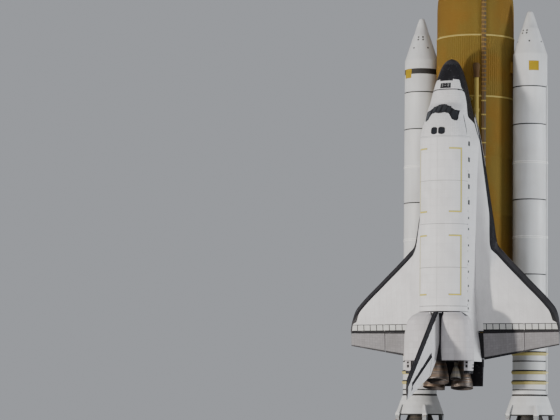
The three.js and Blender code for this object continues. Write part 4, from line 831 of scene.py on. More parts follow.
NOZZLE_SHELL = nozzle_finish("nozzle_shell", (0.10, 0.095, 0.09), (0.16, 0.13, 0.10), 0.5, 0.7)
NOZZLE_LINER = nozzle_finish("nozzle_liner", (0.035, 0.033, 0.032), (0.05, 0.04, 0.035), 0.85, 0.0)
for side, sign in SIDES:
    place = around_booster(sign)
    ball_angle = np.radians(np.linspace(0, 90, 12))
    rows = [(NOZZLE_BALL * sin(a), NOZZLE_PIVOT - NOZZLE_BALL * cos(a), 0) for a in ball_angle]
    rows += [(31, NOZZLE_PIVOT + 12, 0), (38, NOZZLE_PIVOT + 32, 0)]
    for below, radius in NOZZLE_RIDGES:
        rows += [(radius + rise, NOZZLE_PIVOT + below + step, 0) for rise, step in RIDGE]
    rows += [(radius, NOZZLE_PIVOT + below, kind) for radius, below, kind in LIP_AND_BORE]
    grid, finish = banded(rows, 96, place)
    dress(f"steering_nozzle_{side}", [closed(grid, finish)], [NOZZLE_SHELL, NOZZLE_LINER],
          f"booster_nozzle_{side}", [f"booster_nozzle_{side}"])

# Hold-down posts: steel castings on sills, one under each lug of a booster's skirt, held by a stud
# and a big nut. The paint is scorched and rubbed.
SILL_TOP = FLOOR_STATION - 9
SILL_HALF, SILL_NEAR, SILL_FAR = 77.8, 82.2, 111.8
FOOT_HALF, PIN_HEIGHT = 11.6, 30
POST_HEIGHT = 63 - SEAT
POST_LEVELS = [
    # half width, height over the sill
    (11.4, 3), (9.9, 39), (8.2, 43), (8.2, 53), (9.0, 55), (9.0, POST_HEIGHT - 1.2), (8.4, POST_HEIGHT),
]
POST_PAINT = Finish("post_paint", (0.24, 0.25, 0.26), 0.55, 0.2)
post_wear = POST_PAINT.step(POST_PAINT.noise(6.0, 6.0), 0.52, 0.66)
post_wear = POST_PAINT.maths("MULTIPLY", post_wear, 0.7)
post_tone = POST_PAINT.mix(POST_PAINT.noise(1.5), (0.20, 0.21, 0.22), (0.30, 0.31, 0.31))
POST_PAINT.paint(POST_PAINT.mix(post_wear, post_tone, (0.13, 0.075, 0.045)))
POST_PAINT.bump(POST_PAINT.noise(40.0), 0.002)
for side, sign in SIDES:
    for end, sy in (("front", -1), ("back", 1)):
        centre_x = sign * BOOSTER_OFFSET
        low = (centre_x - SILL_HALF, sy * SILL_NEAR, FLOOR_STATION)
        sill = low, (centre_x + SILL_HALF, sy * SILL_FAR, SILL_TOP)
        parts = [crate(*sill, 1.2)]
        for sx in (-1, 1):
            x, y = centre_x + sx * POST_PLACES[0], sy * POST_PLACES[1]
            foot = (x - FOOT_HALF, y - FOOT_HALF, SILL_TOP + 0.5)
            foot = foot, (x + FOOT_HALF, y + FOOT_HALF, SILL_TOP - 3.5)
            casting = closed(np.array([
                stack_point(x + half * SQUARE[0], y + half * SQUARE[1], SILL_TOP - height)
                for half, height in POST_LEVELS
            ]))
            pin = [(x, y + sy * reach, FLOOR_STATION - PIN_HEIGHT) for reach in (-9.4, 12.4)]
            parts += [crate(*foot, 1), casting, bar(*pin, 3.4, 8)]
            for along in (-1, 1):
                inner, outer = x + along * 8.4, x + along * 10.6
                rib = (outer - 1, y - 2, SILL_TOP - 3), (inner + 1, y + 2, SILL_TOP - 35)
                bolt = [(x + along * 9.4, sy * 106.5, SILL_TOP + step) for step in (1, -3)]
                parts += [crate(*rib, 0.6), bar(*bolt, 2.2, 6)]
        dress(f"posts_{end}_{side}", parts, [POST_PAINT],
              "stack", [f"hold_down_posts_{end}_{side}"])

# Orbiter's body: aluminium frames and skins under silica tiles. Every section has a flat belly,
# rounded corners, straight sides and an arched back. The nose cap is a one-piece carbon shell.
ORBITER_DATUM = 63.5  # the orbiter's z0 on the tank's axis
BODY_ROWS = np.array([
    # x0, half width, bottom, shoulder, top, corner's share of the width, of the height
    [237, 5, 336, 341, 347, 0.9, 0.9], [242, 17, 326, 341, 357, 0.9, 0.9],
    [250, 27, 317, 342, 366, 0.9, 0.9], [262, 36, 309, 343, 375, 0.9, 0.9],
    [285, 47, 301, 345, 388, 0.85, 0.9], [315, 57, 295.5, 349, 401, 0.8, 0.85],
    [350, 67, 291.5, 354, 413, 0.7, 0.8], [390, 75.5, 289, 361, 423, 0.6, 0.7],
    [430, 83, 287, 370, 432, 0.45, 0.6], [455, 87, 286, 377, 456, 0.36, 0.5],
    [480, 90.5, 285, 385, 477, 0.28, 0.42], [510, 95, 284, 394, 489, 0.2, 0.32],
    [545, 100.5, 282.5, 407, 497.5, 0.1, 0.18], [582, 105, 281, 420, 500, 0.05, 0.04],
    [1000, 105, 272, 420, 500, 0.05, 0.04], [1307, 105, 268, 420, 500, 0.05, 0.04],
    [1387, 106, 271, 420, 500, 0.05, 0.04], [1440, 113, 276, 420, 504, 0.05, 0.04],
    [1511, 122, 283, 420, 518, 0.06, 0.05],
])
NOSE_START, NOSE_CAP_END, NOSE_BULKHEAD = 237.0, 262.0, 378.0
BAY_START, BAY_END, BODY_END = 582.0, 1307.0, 1511.0
BODY_HALF, CROWN, SILL = 105.0, 500.0, 420.0  # along the bay


def orbiter_point(x0, y0, z0):
    """Points in metres from the orbiter's own coordinates: back from the nose, right, up."""
    return stack_point(y0, ORBITER_DATUM - z0, x0 + ORBITER_TO_TANK)


def between(rows, place):
    """Smooth curves through rows whose first column is the place: cubic pieces whose slope at a
    row is the harmonic mean of the slopes on either side, so no curve overshoots its rows."""
    rows = np.asarray(rows, float)
    x, y = rows[:, 0], rows[:, 1:]
    step = np.diff(x)[:, None]
    slope = np.diff(y, axis=0) / step
    before, after = slope[:-1], slope[1:]
    first, second = 2 * step[1:] + step[:-1], step[1:] + 2 * step[:-1]
    same = before * after > 0
    safe = np.where(same, before, 1), np.where(same, after, 1)
    middle = np.where(same, (first + second) / (first / safe[0] + second / safe[1]), 0)
    tangent = np.concatenate([slope[:1], middle, slope[-1:]])
    place = np.clip(np.asarray(place, float), x[0], x[-1])
    i = np.clip(np.searchsorted(x, place, side="right") - 1, 0, len(x) - 2)
    h = step[i, 0][..., None]
    t = ((place - x[i]) / step[i, 0])[..., None]
    return ((1 + 2 * t) * (1 - t) ** 2 * y[i] + t * (1 - t) ** 2 * h * tangent[i]
            + t**2 * (3 - 2 * t) * y[i + 1] + t**2 * (t - 1) * h * tangent[i + 1])


def curves(rows, place):
    """The same curves as one array a column."""
    return np.moveaxis(between(rows, place), -1, 0)


def body_outline(x0, turn, grow=0.0, floor=None):
    """The body's y0 and z0 at a station. turn is 0 at the crown and 90 at the shoulder, 120 where
    the corner starts, 150 where it ends and 180 in the middle of the belly, then on round the
    port side to 360. The back is half an ellipse and a corner a quarter of one."""
    wide, bottom, shoulder, top, share_wide, share_high = curves(BODY_ROWS, x0)
    wide, top = wide + grow, top + grow
    bottom = bottom - grow if floor is None else np.full_like(bottom, floor)
    corner_wide, corner_high = share_wide * wide, share_high * (shoulder - bottom)
    turn = np.asarray(turn, float) % 360
    side = np.where(turn > 180, -1, 1)
    a = np.where(turn > 180, 360 - turn, turn)
    back = np.radians(np.minimum(a, 90))
    wall = np.clip((a - 90) / 30, 0, 1)
    bend = np.radians(np.clip((a - 120) * 3, 0, 90))
    belly = np.clip((a - 150) / 30, 0, 1)
    y_back, z_back = wide * np.sin(back), shoulder + (top - shoulder) * np.cos(back)
    y_low = (wide - corner_wide * (1 - np.cos(bend))) * np.where(a > 150, 1 - belly, 1)
    z_low = shoulder + (bottom + corner_high - shoulder) * wall - corner_high * np.sin(bend)
    low = a > 90
    return side * np.where(low, y_low, y_back), np.where(low, z_low, z_back)


def body_point(x0, turn, grow=0.0, floor=None):
    """The points of body_outline."""
    x0 = np.asarray(x0, float)
    y0, z0 = body_outline(x0, turn, grow, floor)
    return orbiter_point(x0, y0, z0)


def body_turns(back=60, wall=12, corner=8, belly=10):
    """Turns round the body, dense on the back: back, wall, corner and belly steps a side."""
    half = np.concatenate([
        np.linspace(0, 90, back, endpoint=False), np.linspace(90, 120, wall, endpoint=False),
        np.linspace(120, 150, corner, endpoint=False), np.linspace(150, 180, belly, endpoint=False)])
    return np.concatenate([half, 360 - np.concatenate([[180], half[:0:-1]])])


def tile_finish(name, colour, spread, size, roughness, worn=None, stray=None, gap=0.6):
    """Silica tiles: a staggered grid of squares with narrow gaps, each tile a little lighter or
    darker than the next, now and then a new one, and streaks of weather over all of them. gap is
    the joints' share of the tiles' brightness."""
    tile = Finish(name, colour, roughness)
    lengths = tile.lengths()
    grid = tile.tree.nodes.new("ShaderNodeTexBrick")
    grid.offset, grid.squash = 0.0, 1.0
    tile.feed(grid.inputs["Vector"], lengths)
    tile.feed(grid.inputs["Color1"], [c * (1 - spread) for c in colour])
    tile.feed(grid.inputs["Color2"], [c * (1 + spread) for c in colour])
    tile.feed(grid.inputs["Mortar"], [c * gap for c in colour])
    metres = size * INCH
    settings = {
        "Scale": 1.0, "Mortar Size": 0.004, "Mortar Smooth": 0.3, "Bias": 0.0,
        "Brick Width": metres, "Row Height": metres,
    }
    for socket, value in settings.items():
        grid.inputs[socket].default_value = value
    tone = grid.outputs["Color"]
    if stray:
        cell = tile.node("ShaderNodeVectorMath", settings={"operation": "FLOOR"})
        tile.feed(cell.node.inputs[0], tile.scaled(lengths, (1 / metres,) * 3))
        chance = tile.node("ShaderNodeTexWhiteNoise", Vector=cell)
        tone = tile.mix(tile.step(chance, 0.965, 0.97), tone, stray)
    if worn:
        patches = tile.step(tile.noise(0.8, 6.0), 0.48, 0.72)
        tone = tile.mix(tile.maths("MULTIPLY", patches, 0.5), tone, worn)
        tone = tile.mix(tile.maths("MULTIPLY", tile.streaks(0.25, 4.0, 0.1), 0.2), tone, worn)
    tile.paint(tone)
    tile.rough(tile.noise(5.0), roughness - 0.08, roughness + 0.12)
    tile.bump(tile.maths("SUBTRACT", 1.0, grid.outputs["Fac"]), 0.004)
    tile.bump(tile.noise(30.0, 2.0), 0.0015, 0.5)
    return tile


BLACK_TILE = tile_finish("black_tile", (0.013, 0.012, 0.015), 0.25, 6, 0.42, stray=(0.04, 0.04, 0.045))
WHITE_TILE = tile_finish("white_tile", (0.70, 0.69, 0.70), 0.05, 8, 0.6, worn=(0.55, 0.54, 0.53))
CARBON = mottled(
    "reinforced_carbon", (0.03, 0.03, 0.033), 0.5, 2.0,
    (0.016, 0.015, 0.018), (0.045, 0.043, 0.048), 6.0,
)
CARBON.rough(CARBON.noise(4.0), 0.38, 0.62)
CARBON.bump(CARBON.noise(60.0, 2.0), 0.0015)
for dark in (BLACK_TILE, CARBON):
    dark.shader.inputs["Specular IOR Level"].default_value = 0.2
tip_rows = NOSE_START + (NOSE_CAP_END - SEAT - NOSE_START) * np.linspace(0, 1, 22) ** 2
cap_turns = body_turns(32, 6, 8, 6)
cap_grid = body_point(tip_rows[:, None], cap_turns)
blunt = body_point(np.full((1, 1), NOSE_START), cap_turns)
belly_eye = blunt.mean(axis=1, keepdims=True)
blunt = [
    belly_eye + (blunt - belly_eye) * share + np.array([0, 0, INCH * rise])
    for share, rise in ((0.45, 0.9), (0.8, 0.5))
]
dress("carbon_nose_cap", [closed(np.concatenate([*blunt, cap_grid]))], [CARBON],
      "stack", ["nose_cap"])

# Nose section: tiled skin from the cap to the first bulkhead. Black tiles wrap its front and belly,
# white ones its back. The thruster module is a separate box let into its back, with dark ports.
THRUSTER_BAY = (300.0, 362.0, 372.0, 44.0)  # front, rear, low, half width
DOOR_ROOM = (283.5, 374.5, 24.5, 336.0)  # front, rear, half width, roof
GREY_TILE = tile_finish("grey_tile", (0.42, 0.42, 0.43), 0.12, 8, 0.62, worn=(0.3, 0.3, 0.3))
DARK_GAP = mottled(
    "dark_gap", (0.012, 0.012, 0.013), 0.8, 20.0, (0.008, 0.008, 0.009), (0.02, 0.02, 0.021),
)
SILICA = [WHITE_TILE, BLACK_TILE, GREY_TILE, DARK_GAP]
TILE_WHITE, TILE_BLACK, TILE_GREY, GAP = range(4)
BLACK_EDGE = np.array([
    # x0, turn where the black tiles of the side start
    [237, 0.0], [328, 0.1], [331, 53], [364, 59.5], [388, 73], [437, 81.5], [487, 88.5],
    [492, 92], [515, 118], [582, 119],
])


def middles(values):
    """The mean of each two neighbours."""
    return (values[1:] + values[:-1]) / 2


def wrapped_middles(turns):
    """The middle of each turn and the next, the last with the first."""
    return (turns + np.diff(np.append(turns, turns[0] + 360)) / 2) % 360


def folded(turn):
    """A turn on either side as 0 to 180 from the crown."""
    turn = np.asarray(turn) % 360
    return np.where(turn > 180, 360 - turn, turn)


def cut(piece, *cutters, operation="DIFFERENCE", solver="EXACT"):
    """Takes solids out of a piece, or keeps what they share, and drops the solids."""
    for solid in cutters:
        change = piece.modifiers.new("cut", "BOOLEAN")
        change.operation, change.solver, change.object = operation, solver, solid
        change.material_mode = "TRANSFER"
    bpy.context.view_layer.update()
    made = bpy.data.meshes.new_from_object(piece.evaluated_get(bpy.context.evaluated_depsgraph_get()))
    form = bmesh.new()
    form.from_mesh(made)
    bmesh.ops.dissolve_degenerate(form, edges=form.edges, dist=SAME_PLACE)
    form.to_mesh(made)
    form.free()
    piece.modifiers.clear()
    before = piece.data
    piece.data = made
    bpy.data.meshes.remove(before)
    for solid in cutters:
        bpy.data.objects.remove(solid)
    made.set_sharp_from_angle(angle=CREASE)


def cutter(grid, finish):
    """A closed solid to cut with. What it leaves on the cut faces is its finish."""
    return assemble("cutter", [closed(grid)], [finish])


def orbiter_box(low, high, finish):
    """A plain closed box between two corners of the orbiter's coordinates, to cut with."""
    (xa, ya, za), (xb, yb, zb) = low, high
    y, z = np.array([ya, yb, yb, ya]), np.array([za, za, zb, zb])
    grid = np.array([orbiter_point(np.full(4, x), y, z) for x in (xa, xb)])
    return cutter(grid, finish)


def body_sheet(name, stations, turns, finish, finishes):
    """A closed length of the body, its finish worked out from the middle of each quad."""
    numbers = finish(middles(stations)[:, None], folded(wrapped_middles(turns))[None, :])
    return assemble(name, [closed(body_point(stations[:, None], turns), numbers)], finishes)


def bulkhead_line(x0, turn):
    """Where the dark line at the first bulkhead runs, bent back down the sides."""
    line = np.interp(turn, [0, 35, 62, 71, 76], [373.5, 373.5, 376, 382, 387])
    return (np.abs(x0 - line) < 2.6) & (turn < 76)


def nose_finish(x0, turn):
    """White back behind a stepped edge, black elsewhere, a dark line at the bulkhead and a dark
    recess round the upward thrusters."""
    number = np.where(turn < between(BLACK_EDGE, x0)[..., 0], TILE_WHITE, TILE_BLACK)
    number = np.where((x0 < 336) & (turn < 27), TILE_BLACK, number)
    number = np.where((x0 > 346) & (x0 < 368) & (turn < 19.5), TILE_BLACK, number)
    return np.where(bulkhead_line(x0, turn), GAP, number).astype(int)


nose_stations = np.append(np.arange(NOSE_CAP_END, NOSE_BULKHEAD - 0.5, 1.5), NOSE_BULKHEAD - SEAT)
front, rear, low, half = THRUSTER_BAY
door_front, door_rear, door_half, door_roof = DOOR_ROOM
bay = (front - SEAT, -half - SEAT, low), (rear + SEAT, half + SEAT, 460)
well = (door_front, -door_half, 250), (door_rear, door_half, door_roof)
nose = body_sheet("nose_tiles", nose_stations, body_turns(72, 12, 10, 12), nose_finish, SILICA)
# The nose wheel well's walls take the near-black gap finish: painted shade inside the closed well.
cut(nose, orbiter_box(*bay, DARK_GAP), orbiter_box(*well, DARK_GAP))
belongs(nose, "stack", ["nose_section"])

module_stations = np.arange(290.0, 372.5, 1.5)
module = body_sheet("module", module_stations, body_turns(72, 4, 4, 4), nose_finish, SILICA)
module_room = (front, -half, low + SEAT), (rear, half, 460)
cut(module, orbiter_box(*module_room, DARK_GAP), operation="INTERSECT")
belongs(module, "stack", ["forward_thruster_module"])
throats = []
for x0 in (351.0, 358.5):
    for y0 in (-13.0, 0.0, 13.0):
        crown = float(between(BODY_ROWS, x0)[3]) - 0.1
        throats.append(bar((x0, y0, crown - 3), (x0, y0, crown + 0.4), 3.2, 20, 2, orbiter_point))
        throats.append(bar((x0, y0, crown - 3), (x0, y0, crown + 0.6), 2.3, 20, 3, orbiter_point))
dress("upward_thrusters", throats, SILICA, "stack", [])

# Forward fuselage: the crew section, tiled outside and hollow inside. Six windscreens and two roof
# windows are let into it, and a round hatchway on the port side.
CABIN_START, CABIN_END, CABIN_FLOOR, CABIN_WALL = 434.0, 570.0, 330.0, 5.0
WINDSCREENS = [
    # front x0, rear x0, inner turn, outer turn
    (440, 478, 2, 14), (449, 482, 16, 28), (467, 510, 31.5, 52),
]
ROOF_WINDOWS = [(544.5, 569, 2.5, 16)]
HATCH_X0, HATCH_Z0, HATCH_RADIUS, HATCH_GAP, HATCH_HINGE = 524.0, 354.0, 20.0, 1.0, 2.2
LOOP = np.arange(48) * 2 * pi / 48


def side_ring(x0, z0, radius):
    """Stations and heights round a circle seen from the side."""
    return x0 + radius * np.cos(LOOP), z0 + radius * np.sin(LOOP)


def squarer(wave, power):
    """A cosine or sine whose size is raised to a power, which squares off the loop they draw."""
    return np.sign(wave) * np.abs(wave) ** power


def rounded(front, rear, low, high, share=1.0):
    """Stations and turns round a rounded rectangle: the powers of a cosine and a sine."""
    x0 = (front + rear) / 2 + share * (rear - front) / 2 * squarer(np.cos(LOOP), 0.4)
    return x0, (low + high) / 2 + share * (high - low) / 2 * squarer(np.sin(LOOP), 0.4)


def window_cutter(front, rear, low, high, sign):
    """A rounded hole that narrows towards a focus inside the cabin."""
    x0, turn = rounded(front, rear, low, high)
    y0, z0 = body_outline(x0, sign * turn)
    focus_x, focus_z = (front + rear) / 2 + 10, 385.0
    grid = [
        orbiter_point(focus_x + (x0 - focus_x) * share, y0 * share, focus_z + (z0 - focus_z) * share)
        for share in (0.8, 1.2)
    ]
    return cutter(np.array(grid), BLACK_TILE)


def side_turn(x0, z0):
    """The turn at a height on the body's straight side."""
    _, bottom, shoulder, _, _, share_high = curves(BODY_ROWS, x0)
    return 90 + 30 * (shoulder - z0) / ((shoulder - bottom) * (1 - share_high))


def forward_finish(x0, turn):
    """White back and sides, black below the edge and round the windows, grey seams."""
    number = np.where(turn < between(BLACK_EDGE, x0)[..., 0], TILE_WHITE, TILE_BLACK)
    brow = np.interp(turn, [0, 5, 19, 25, 40, 56], [438, 439, 447, 453, 466, 468])
    lower = [0, 4, 13, 22, 27, 33, 41, 48, 51, 54, 56]
    cheek = np.interp(turn, lower, [482, 482, 479, 482, 490, 507, 514, 514, 500, 480, 466])
    roof = np.abs((x0 - 557) / 15.5) ** 3 + np.abs((turn - 9.3) / 8.8) ** 3 < 1
    number = np.where(((x0 > brow) & (x0 < cheek)) | roof, TILE_BLACK, number)
    frame_line = (x0 > 577) & (x0 < 579) & (turn < 96)
    number = np.where(frame_line, TILE_GREY, number)
    strip = (np.abs(x0 - (489 + (turn - 67.7) * 5.4)) < 8) & (turn > 67.7) & (turn < 82.4)
    return np.where(bulkhead_line(x0, turn) | strip, GAP, number).astype(int)


forward_stations = np.concatenate([
    np.arange(NOSE_BULKHEAD, 576.5, 1.6), [577, 579, BAY_START - SEAT - 0.6, BAY_START - SEAT],
])
forward_piece = body_sheet(
    "forward_fuselage_tiles", forward_stations, body_turns(90, 18, 6, 10), forward_finish, SILICA,
)
CABIN_LINER = mottled("cabin_liner", (0.34, 0.36, 0.35), 0.7, 4.0, (0.28, 0.3, 0.3), (0.42, 0.43, 0.41))
cabin_stations = np.linspace(CABIN_START, CABIN_END, 12)
cabin_skin = body_point(
    cabin_stations[:, None], body_turns(20, 4, 4, 4), grow=-CABIN_WALL, floor=CABIN_FLOOR,
)
hatch_side = -float(between(BODY_ROWS, HATCH_X0)[0])
bore_x0, bore_z0 = side_ring(HATCH_X0, HATCH_Z0, HATCH_RADIUS + HATCH_GAP)
hatch_bore = np.array([
    orbiter_point(bore_x0, np.full(48, hatch_side + depth), bore_z0) for depth in (-6.0, 14.0)
])
window_cutters = [
    window_cutter(*window, sign) for window in WINDSCREENS + ROOF_WINDOWS for sign in (-1, 1)
]
cut(forward_piece, cutter(cabin_skin, CABIN_LINER), cutter(hatch_bore, DARK_GAP), *window_cutters)
belongs(forward_piece, "stack", ["forward_fuselage"])

# Windscreens and roof windows: triple panes of tempered and silica glass in black-tiled frames.
# The outer panes sit just under the tiles and look black from outside.
WINDOW_GLASS = Finish("window_glass", (0.006, 0.007, 0.009), 0.06)
WINDOW_GLASS.shader.inputs["Coat Weight"].default_value = 0.6
WINDOW_GLASS.shader.inputs["Coat Roughness"].default_value = 0.03
glass_tone = WINDOW_GLASS.mix(WINDOW_GLASS.noise(1.2), (0.004, 0.005, 0.007), (0.012, 0.013, 0.016))
WINDOW_GLASS.paint(glass_tone)
WINDOW_GLASS.rough(WINDOW_GLASS.noise(3.0, 5.0), 0.04, 0.13)


def panes(windows):
    """Thin curved panes, each a rounded rectangle on the skin, sunk a little below it."""
    made = []
    for front, rear, low, high in windows:
        for sign in (-1, 1):
            rows = []
            pane = (0.3, 1.4), (0.7, 1.4), (1.05, 1.4), (1.05, 2.6), (0.7, 2.6), (0.3, 2.6)
            for share, depth in pane:
                x0, turn = rounded(front, rear, low, high, share)
                rows.append(body_point(x0, sign * turn, grow=-depth))
            made.append(closed(np.array(rows)))
    return made


for name, windows, node in (("windscreen_panes", WINDSCREENS, "windshield_glass"),
                            ("roof_window_panes", ROOF_WINDOWS, "roof_window_glass")):
    dress(name, panes(windows), [WINDOW_GLASS], "stack", [node])

# Crew hatch: a round aluminium door under white tiles, with a small window. A broad lug joins its
# lower edge to the hinge pin on which it swings down.
hatch_rows = []
hatch_profile = [
    # radius, height over the skin
    (2, -0.6), (5, -0.6), (5.3, 0), (12, 0), (19.6, 0),
    (HATCH_RADIUS, -0.4), (HATCH_RADIUS, -4.9), (8, -4.9),
]
for radius, grow in hatch_profile:
    x0, z0 = side_ring(HATCH_X0, HATCH_Z0, radius)
    hatch_rows.append(body_point(x0, 360 - side_turn(x0, z0), grow=grow))
hatch_finish = np.repeat(np.array([2, 1, 0, 0, 0, 1, 1])[:, None], 48, axis=1)
axis_y, axis_z = hatch_side - HATCH_HINGE, HATCH_Z0 - HATCH_RADIUS - 0.6
hatch_pin = (HATCH_X0 - 4, axis_y, axis_z), (HATCH_X0 + 4, axis_y, axis_z)
hatch_lug = (
    (HATCH_X0 - 3.8, axis_y - 0.9, axis_z),
    (HATCH_X0 + 3.8, axis_y + HATCH_HINGE + 0.6, axis_z + 6.8),
)
dress("round_hatch", [
    closed(np.array(hatch_rows), hatch_finish),
    bar(*hatch_pin, 1.35, 16, 1, orbiter_point),
    crate(*hatch_lug, 0.4, 1, orbiter_point),
], [WHITE_TILE, DARK_GAP, WINDOW_GLASS], "crew_hatch", ["crew_hatch"])

# Mid fuselage: the cargo bay's tub. White blanket covers its sides, black tiles its belly, and
# frames and a longeron under the doors' hinges stiffen the open trough.
BAY_RADIUS, TROUGH_START, TROUGH_END, TROUGH_WALL = 93.0, 590.0, 1299.0, 20.0
FRAME_START, FRAME_PITCH, FRAMES = 618.0, 55.4, 12
BLANKET = tile_finish(
    "quilted_blanket", (0.68, 0.67, 0.68), 0.025, 32, 0.75, worn=(0.54, 0.53, 0.53), gap=0.82,
)
BAY_LINER = mottled("bay_liner", (0.62, 0.62, 0.60), 0.6, 3.0, (0.52, 0.52, 0.50), (0.68, 0.68, 0.66))
BAY_LINER.bump(BAY_LINER.noise(14.0), 0.004)
LARGE_VENTS = (606.5, 674, 741, 787, 852)
SMALL_VENTS = (917.6, 964, 1031.5, 1098, 1141, 1200, 1261, 1293)
across = np.unique(np.concatenate([
    np.linspace(0, 0.05, 3), np.linspace(0.05, 0.95, 65), np.linspace(0.95, 1, 3),
]).round(9))
belly_turn = np.interp(across, [0, 0.2, 0.24, 0.5, 0.76, 0.8, 1], [90, 120, 150, 180, 210, 240, 270])


def merged(*parts):
    """The values of several arrays in order, each once."""
    return np.unique(np.concatenate(parts))


def trough(x0):
    """The tub's inside at a station: a half circle under short upright walls, its radius less at
    a frame. The first and last twentieth of the columns are the walls."""
    turn = (np.clip((across - 0.05) / 0.9, 0, 1) * pi)[None, :]
    gap = np.abs((x0[:, None] - FRAME_START) % FRAME_PITCH - FRAME_PITCH / 2)
    radius = BAY_RADIUS - 1.2 * np.clip((2.2 - gap) / 0.7, 0, 1)
    wall = np.clip(1 - across / 0.05, 0, 1) + np.clip((across - 0.95) / 0.05, 0, 1)
    z0 = SILL + TROUGH_WALL * (wall - 1) - radius * np.sin(turn)
    return orbiter_point(x0[:, None], radius * np.cos(turn), z0)


def lid(x0):
    """The tub's top plane over the same columns."""
    y0 = BAY_RADIUS * np.cos(np.clip((across - 0.05) / 0.9, 0, 1) * pi)
    return orbiter_point(np.full_like(y0, x0), y0, SILL)[None]


frame_centres = FRAME_START + FRAME_PITCH * (np.arange(FRAMES) + 0.5)
frame_edges = [frame_centres + step for step in (-2.2, -1.5, 1.5, 2.2)]
tub_stations = merged([TROUGH_START, TROUGH_END], *frame_edges)
skin_stations = np.linspace(BAY_END - SEAT, BAY_START, 90)
tub = np.concatenate([
    lid(BAY_START), lid(TROUGH_START), trough(tub_stations), lid(TROUGH_END), lid(BAY_END - SEAT),
    body_point(skin_stations[:, None], belly_turn),
])
inside_rows = len(tub_stations) + 4
tub_finish = np.zeros((len(across) - 1, len(tub)), int)
tub_finish[:, 1:inside_rows - 2] = 2
black = (middles(belly_turn) > 118) & (middles(belly_turn) < 242)
tub_finish[:, inside_rows:] = np.where(black, 1, 0)[:, None]
vents = []
for places, reach, foot, head in ((LARGE_VENTS, 10, 398, 419), (SMALL_VENTS, 5, 404, 418)):
    for x0 in places:
        for sign in (-1, 1):
            low = (x0 - reach, sign * (BODY_HALF - 0.8), foot)
            high = (x0 + reach, sign * (BODY_HALF + 0.12), head)
            vents.append(crate(low, high, 0.6, 3, orbiter_point))
dress("cargo_bay_tub", [closed(tub.transpose(1, 0, 2), tub_finish), *vents],
      [BLANKET, BLACK_TILE, BAY_LINER, DARK_GAP], "stack", ["mid_fuselage"])

# Cargo bay doors: two long curved doors of graphite honeycomb under white blanket, in five panels
# with narrow joints. Yellow handling marks are painted on them, and radiators line their insides.
DOOR_START, DOOR_END = BAY_START + 0.5, BAY_END - 0.5
DOOR_WALL = 5.0
DOOR_FOOT = SILL + SEAT
PANEL_JOINTS = (765.0, 945.0, 1126.0, 1286.0)
MARKS = ((628.0, 897.0), (991.0, 1241.0))
MARK_TURNS = (28.0, 58.0, 61.6)
MARK_WIDTH = 5.5
YELLOW_MARK = mottled(
    "yellow_mark", (0.58, 0.50, 0.06), 0.6, 6.0, (0.62, 0.54, 0.07), (0.50, 0.43, 0.06), 5.0,
)
MARK_EDGE = mottled("mark_edge", (0.10, 0.09, 0.05), 0.7, 6.0, (0.08, 0.07, 0.04), (0.14, 0.12, 0.07))
RADIATOR = Finish("radiator_panel", (0.62, 0.64, 0.66), 0.22, 0.85)
RADIATOR.rough(RADIATOR.noise(2.0), 0.16, 0.32)
radiator_height = RADIATOR.part_of(RADIATOR.place(), 2)
RADIATOR.bump(RADIATOR.maths("SINE", RADIATOR.maths("MULTIPLY", radiator_height, 60)), 0.002)
edge_turn = float(np.degrees(np.arcsin(0.25 / BODY_HALF)))
mark_inner, mark_near, mark_far = MARK_TURNS
outer_turns = merged(
    np.linspace(edge_turn, 90, 44), [mark_inner - 0.6, mark_inner],
    [mark_near - 0.6, mark_near, mark_far, mark_far + 0.6],
)
joint_steps = (-0.9, -0.6, 0.6, 0.9)
mark_steps = (-0.8, 0, MARK_WIDTH, MARK_WIDTH + 0.8)
door_stations = merged(
    [DOOR_START, DOOR_START + 0.8, DOOR_END - 0.8, DOOR_END],
    np.linspace(DOOR_START + 8, DOOR_END - 8, 60),
    *[np.array(PANEL_JOINTS) + step for step in joint_steps],
    *[np.array([a for a, _ in MARKS]) + step for step in mark_steps],
    *[np.array([b for _, b in MARKS]) - step for step in mark_steps],
)


def door_surface(x0, turns, inset, sign):
    """Half an ellipse over the hinge line, drawn in by inset."""
    turn = np.radians(turns)
    wide, high = BODY_HALF - inset, CROWN - DOOR_FOOT - inset
    return orbiter_point(x0, sign * wide * np.sin(turn), DOOR_FOOT + high * np.cos(turn))


def near_any(x0, places, reach):
    """Whether a station is within reach of one of the places."""
    return np.any([np.abs(x0 - place) < reach for place in places], axis=0)


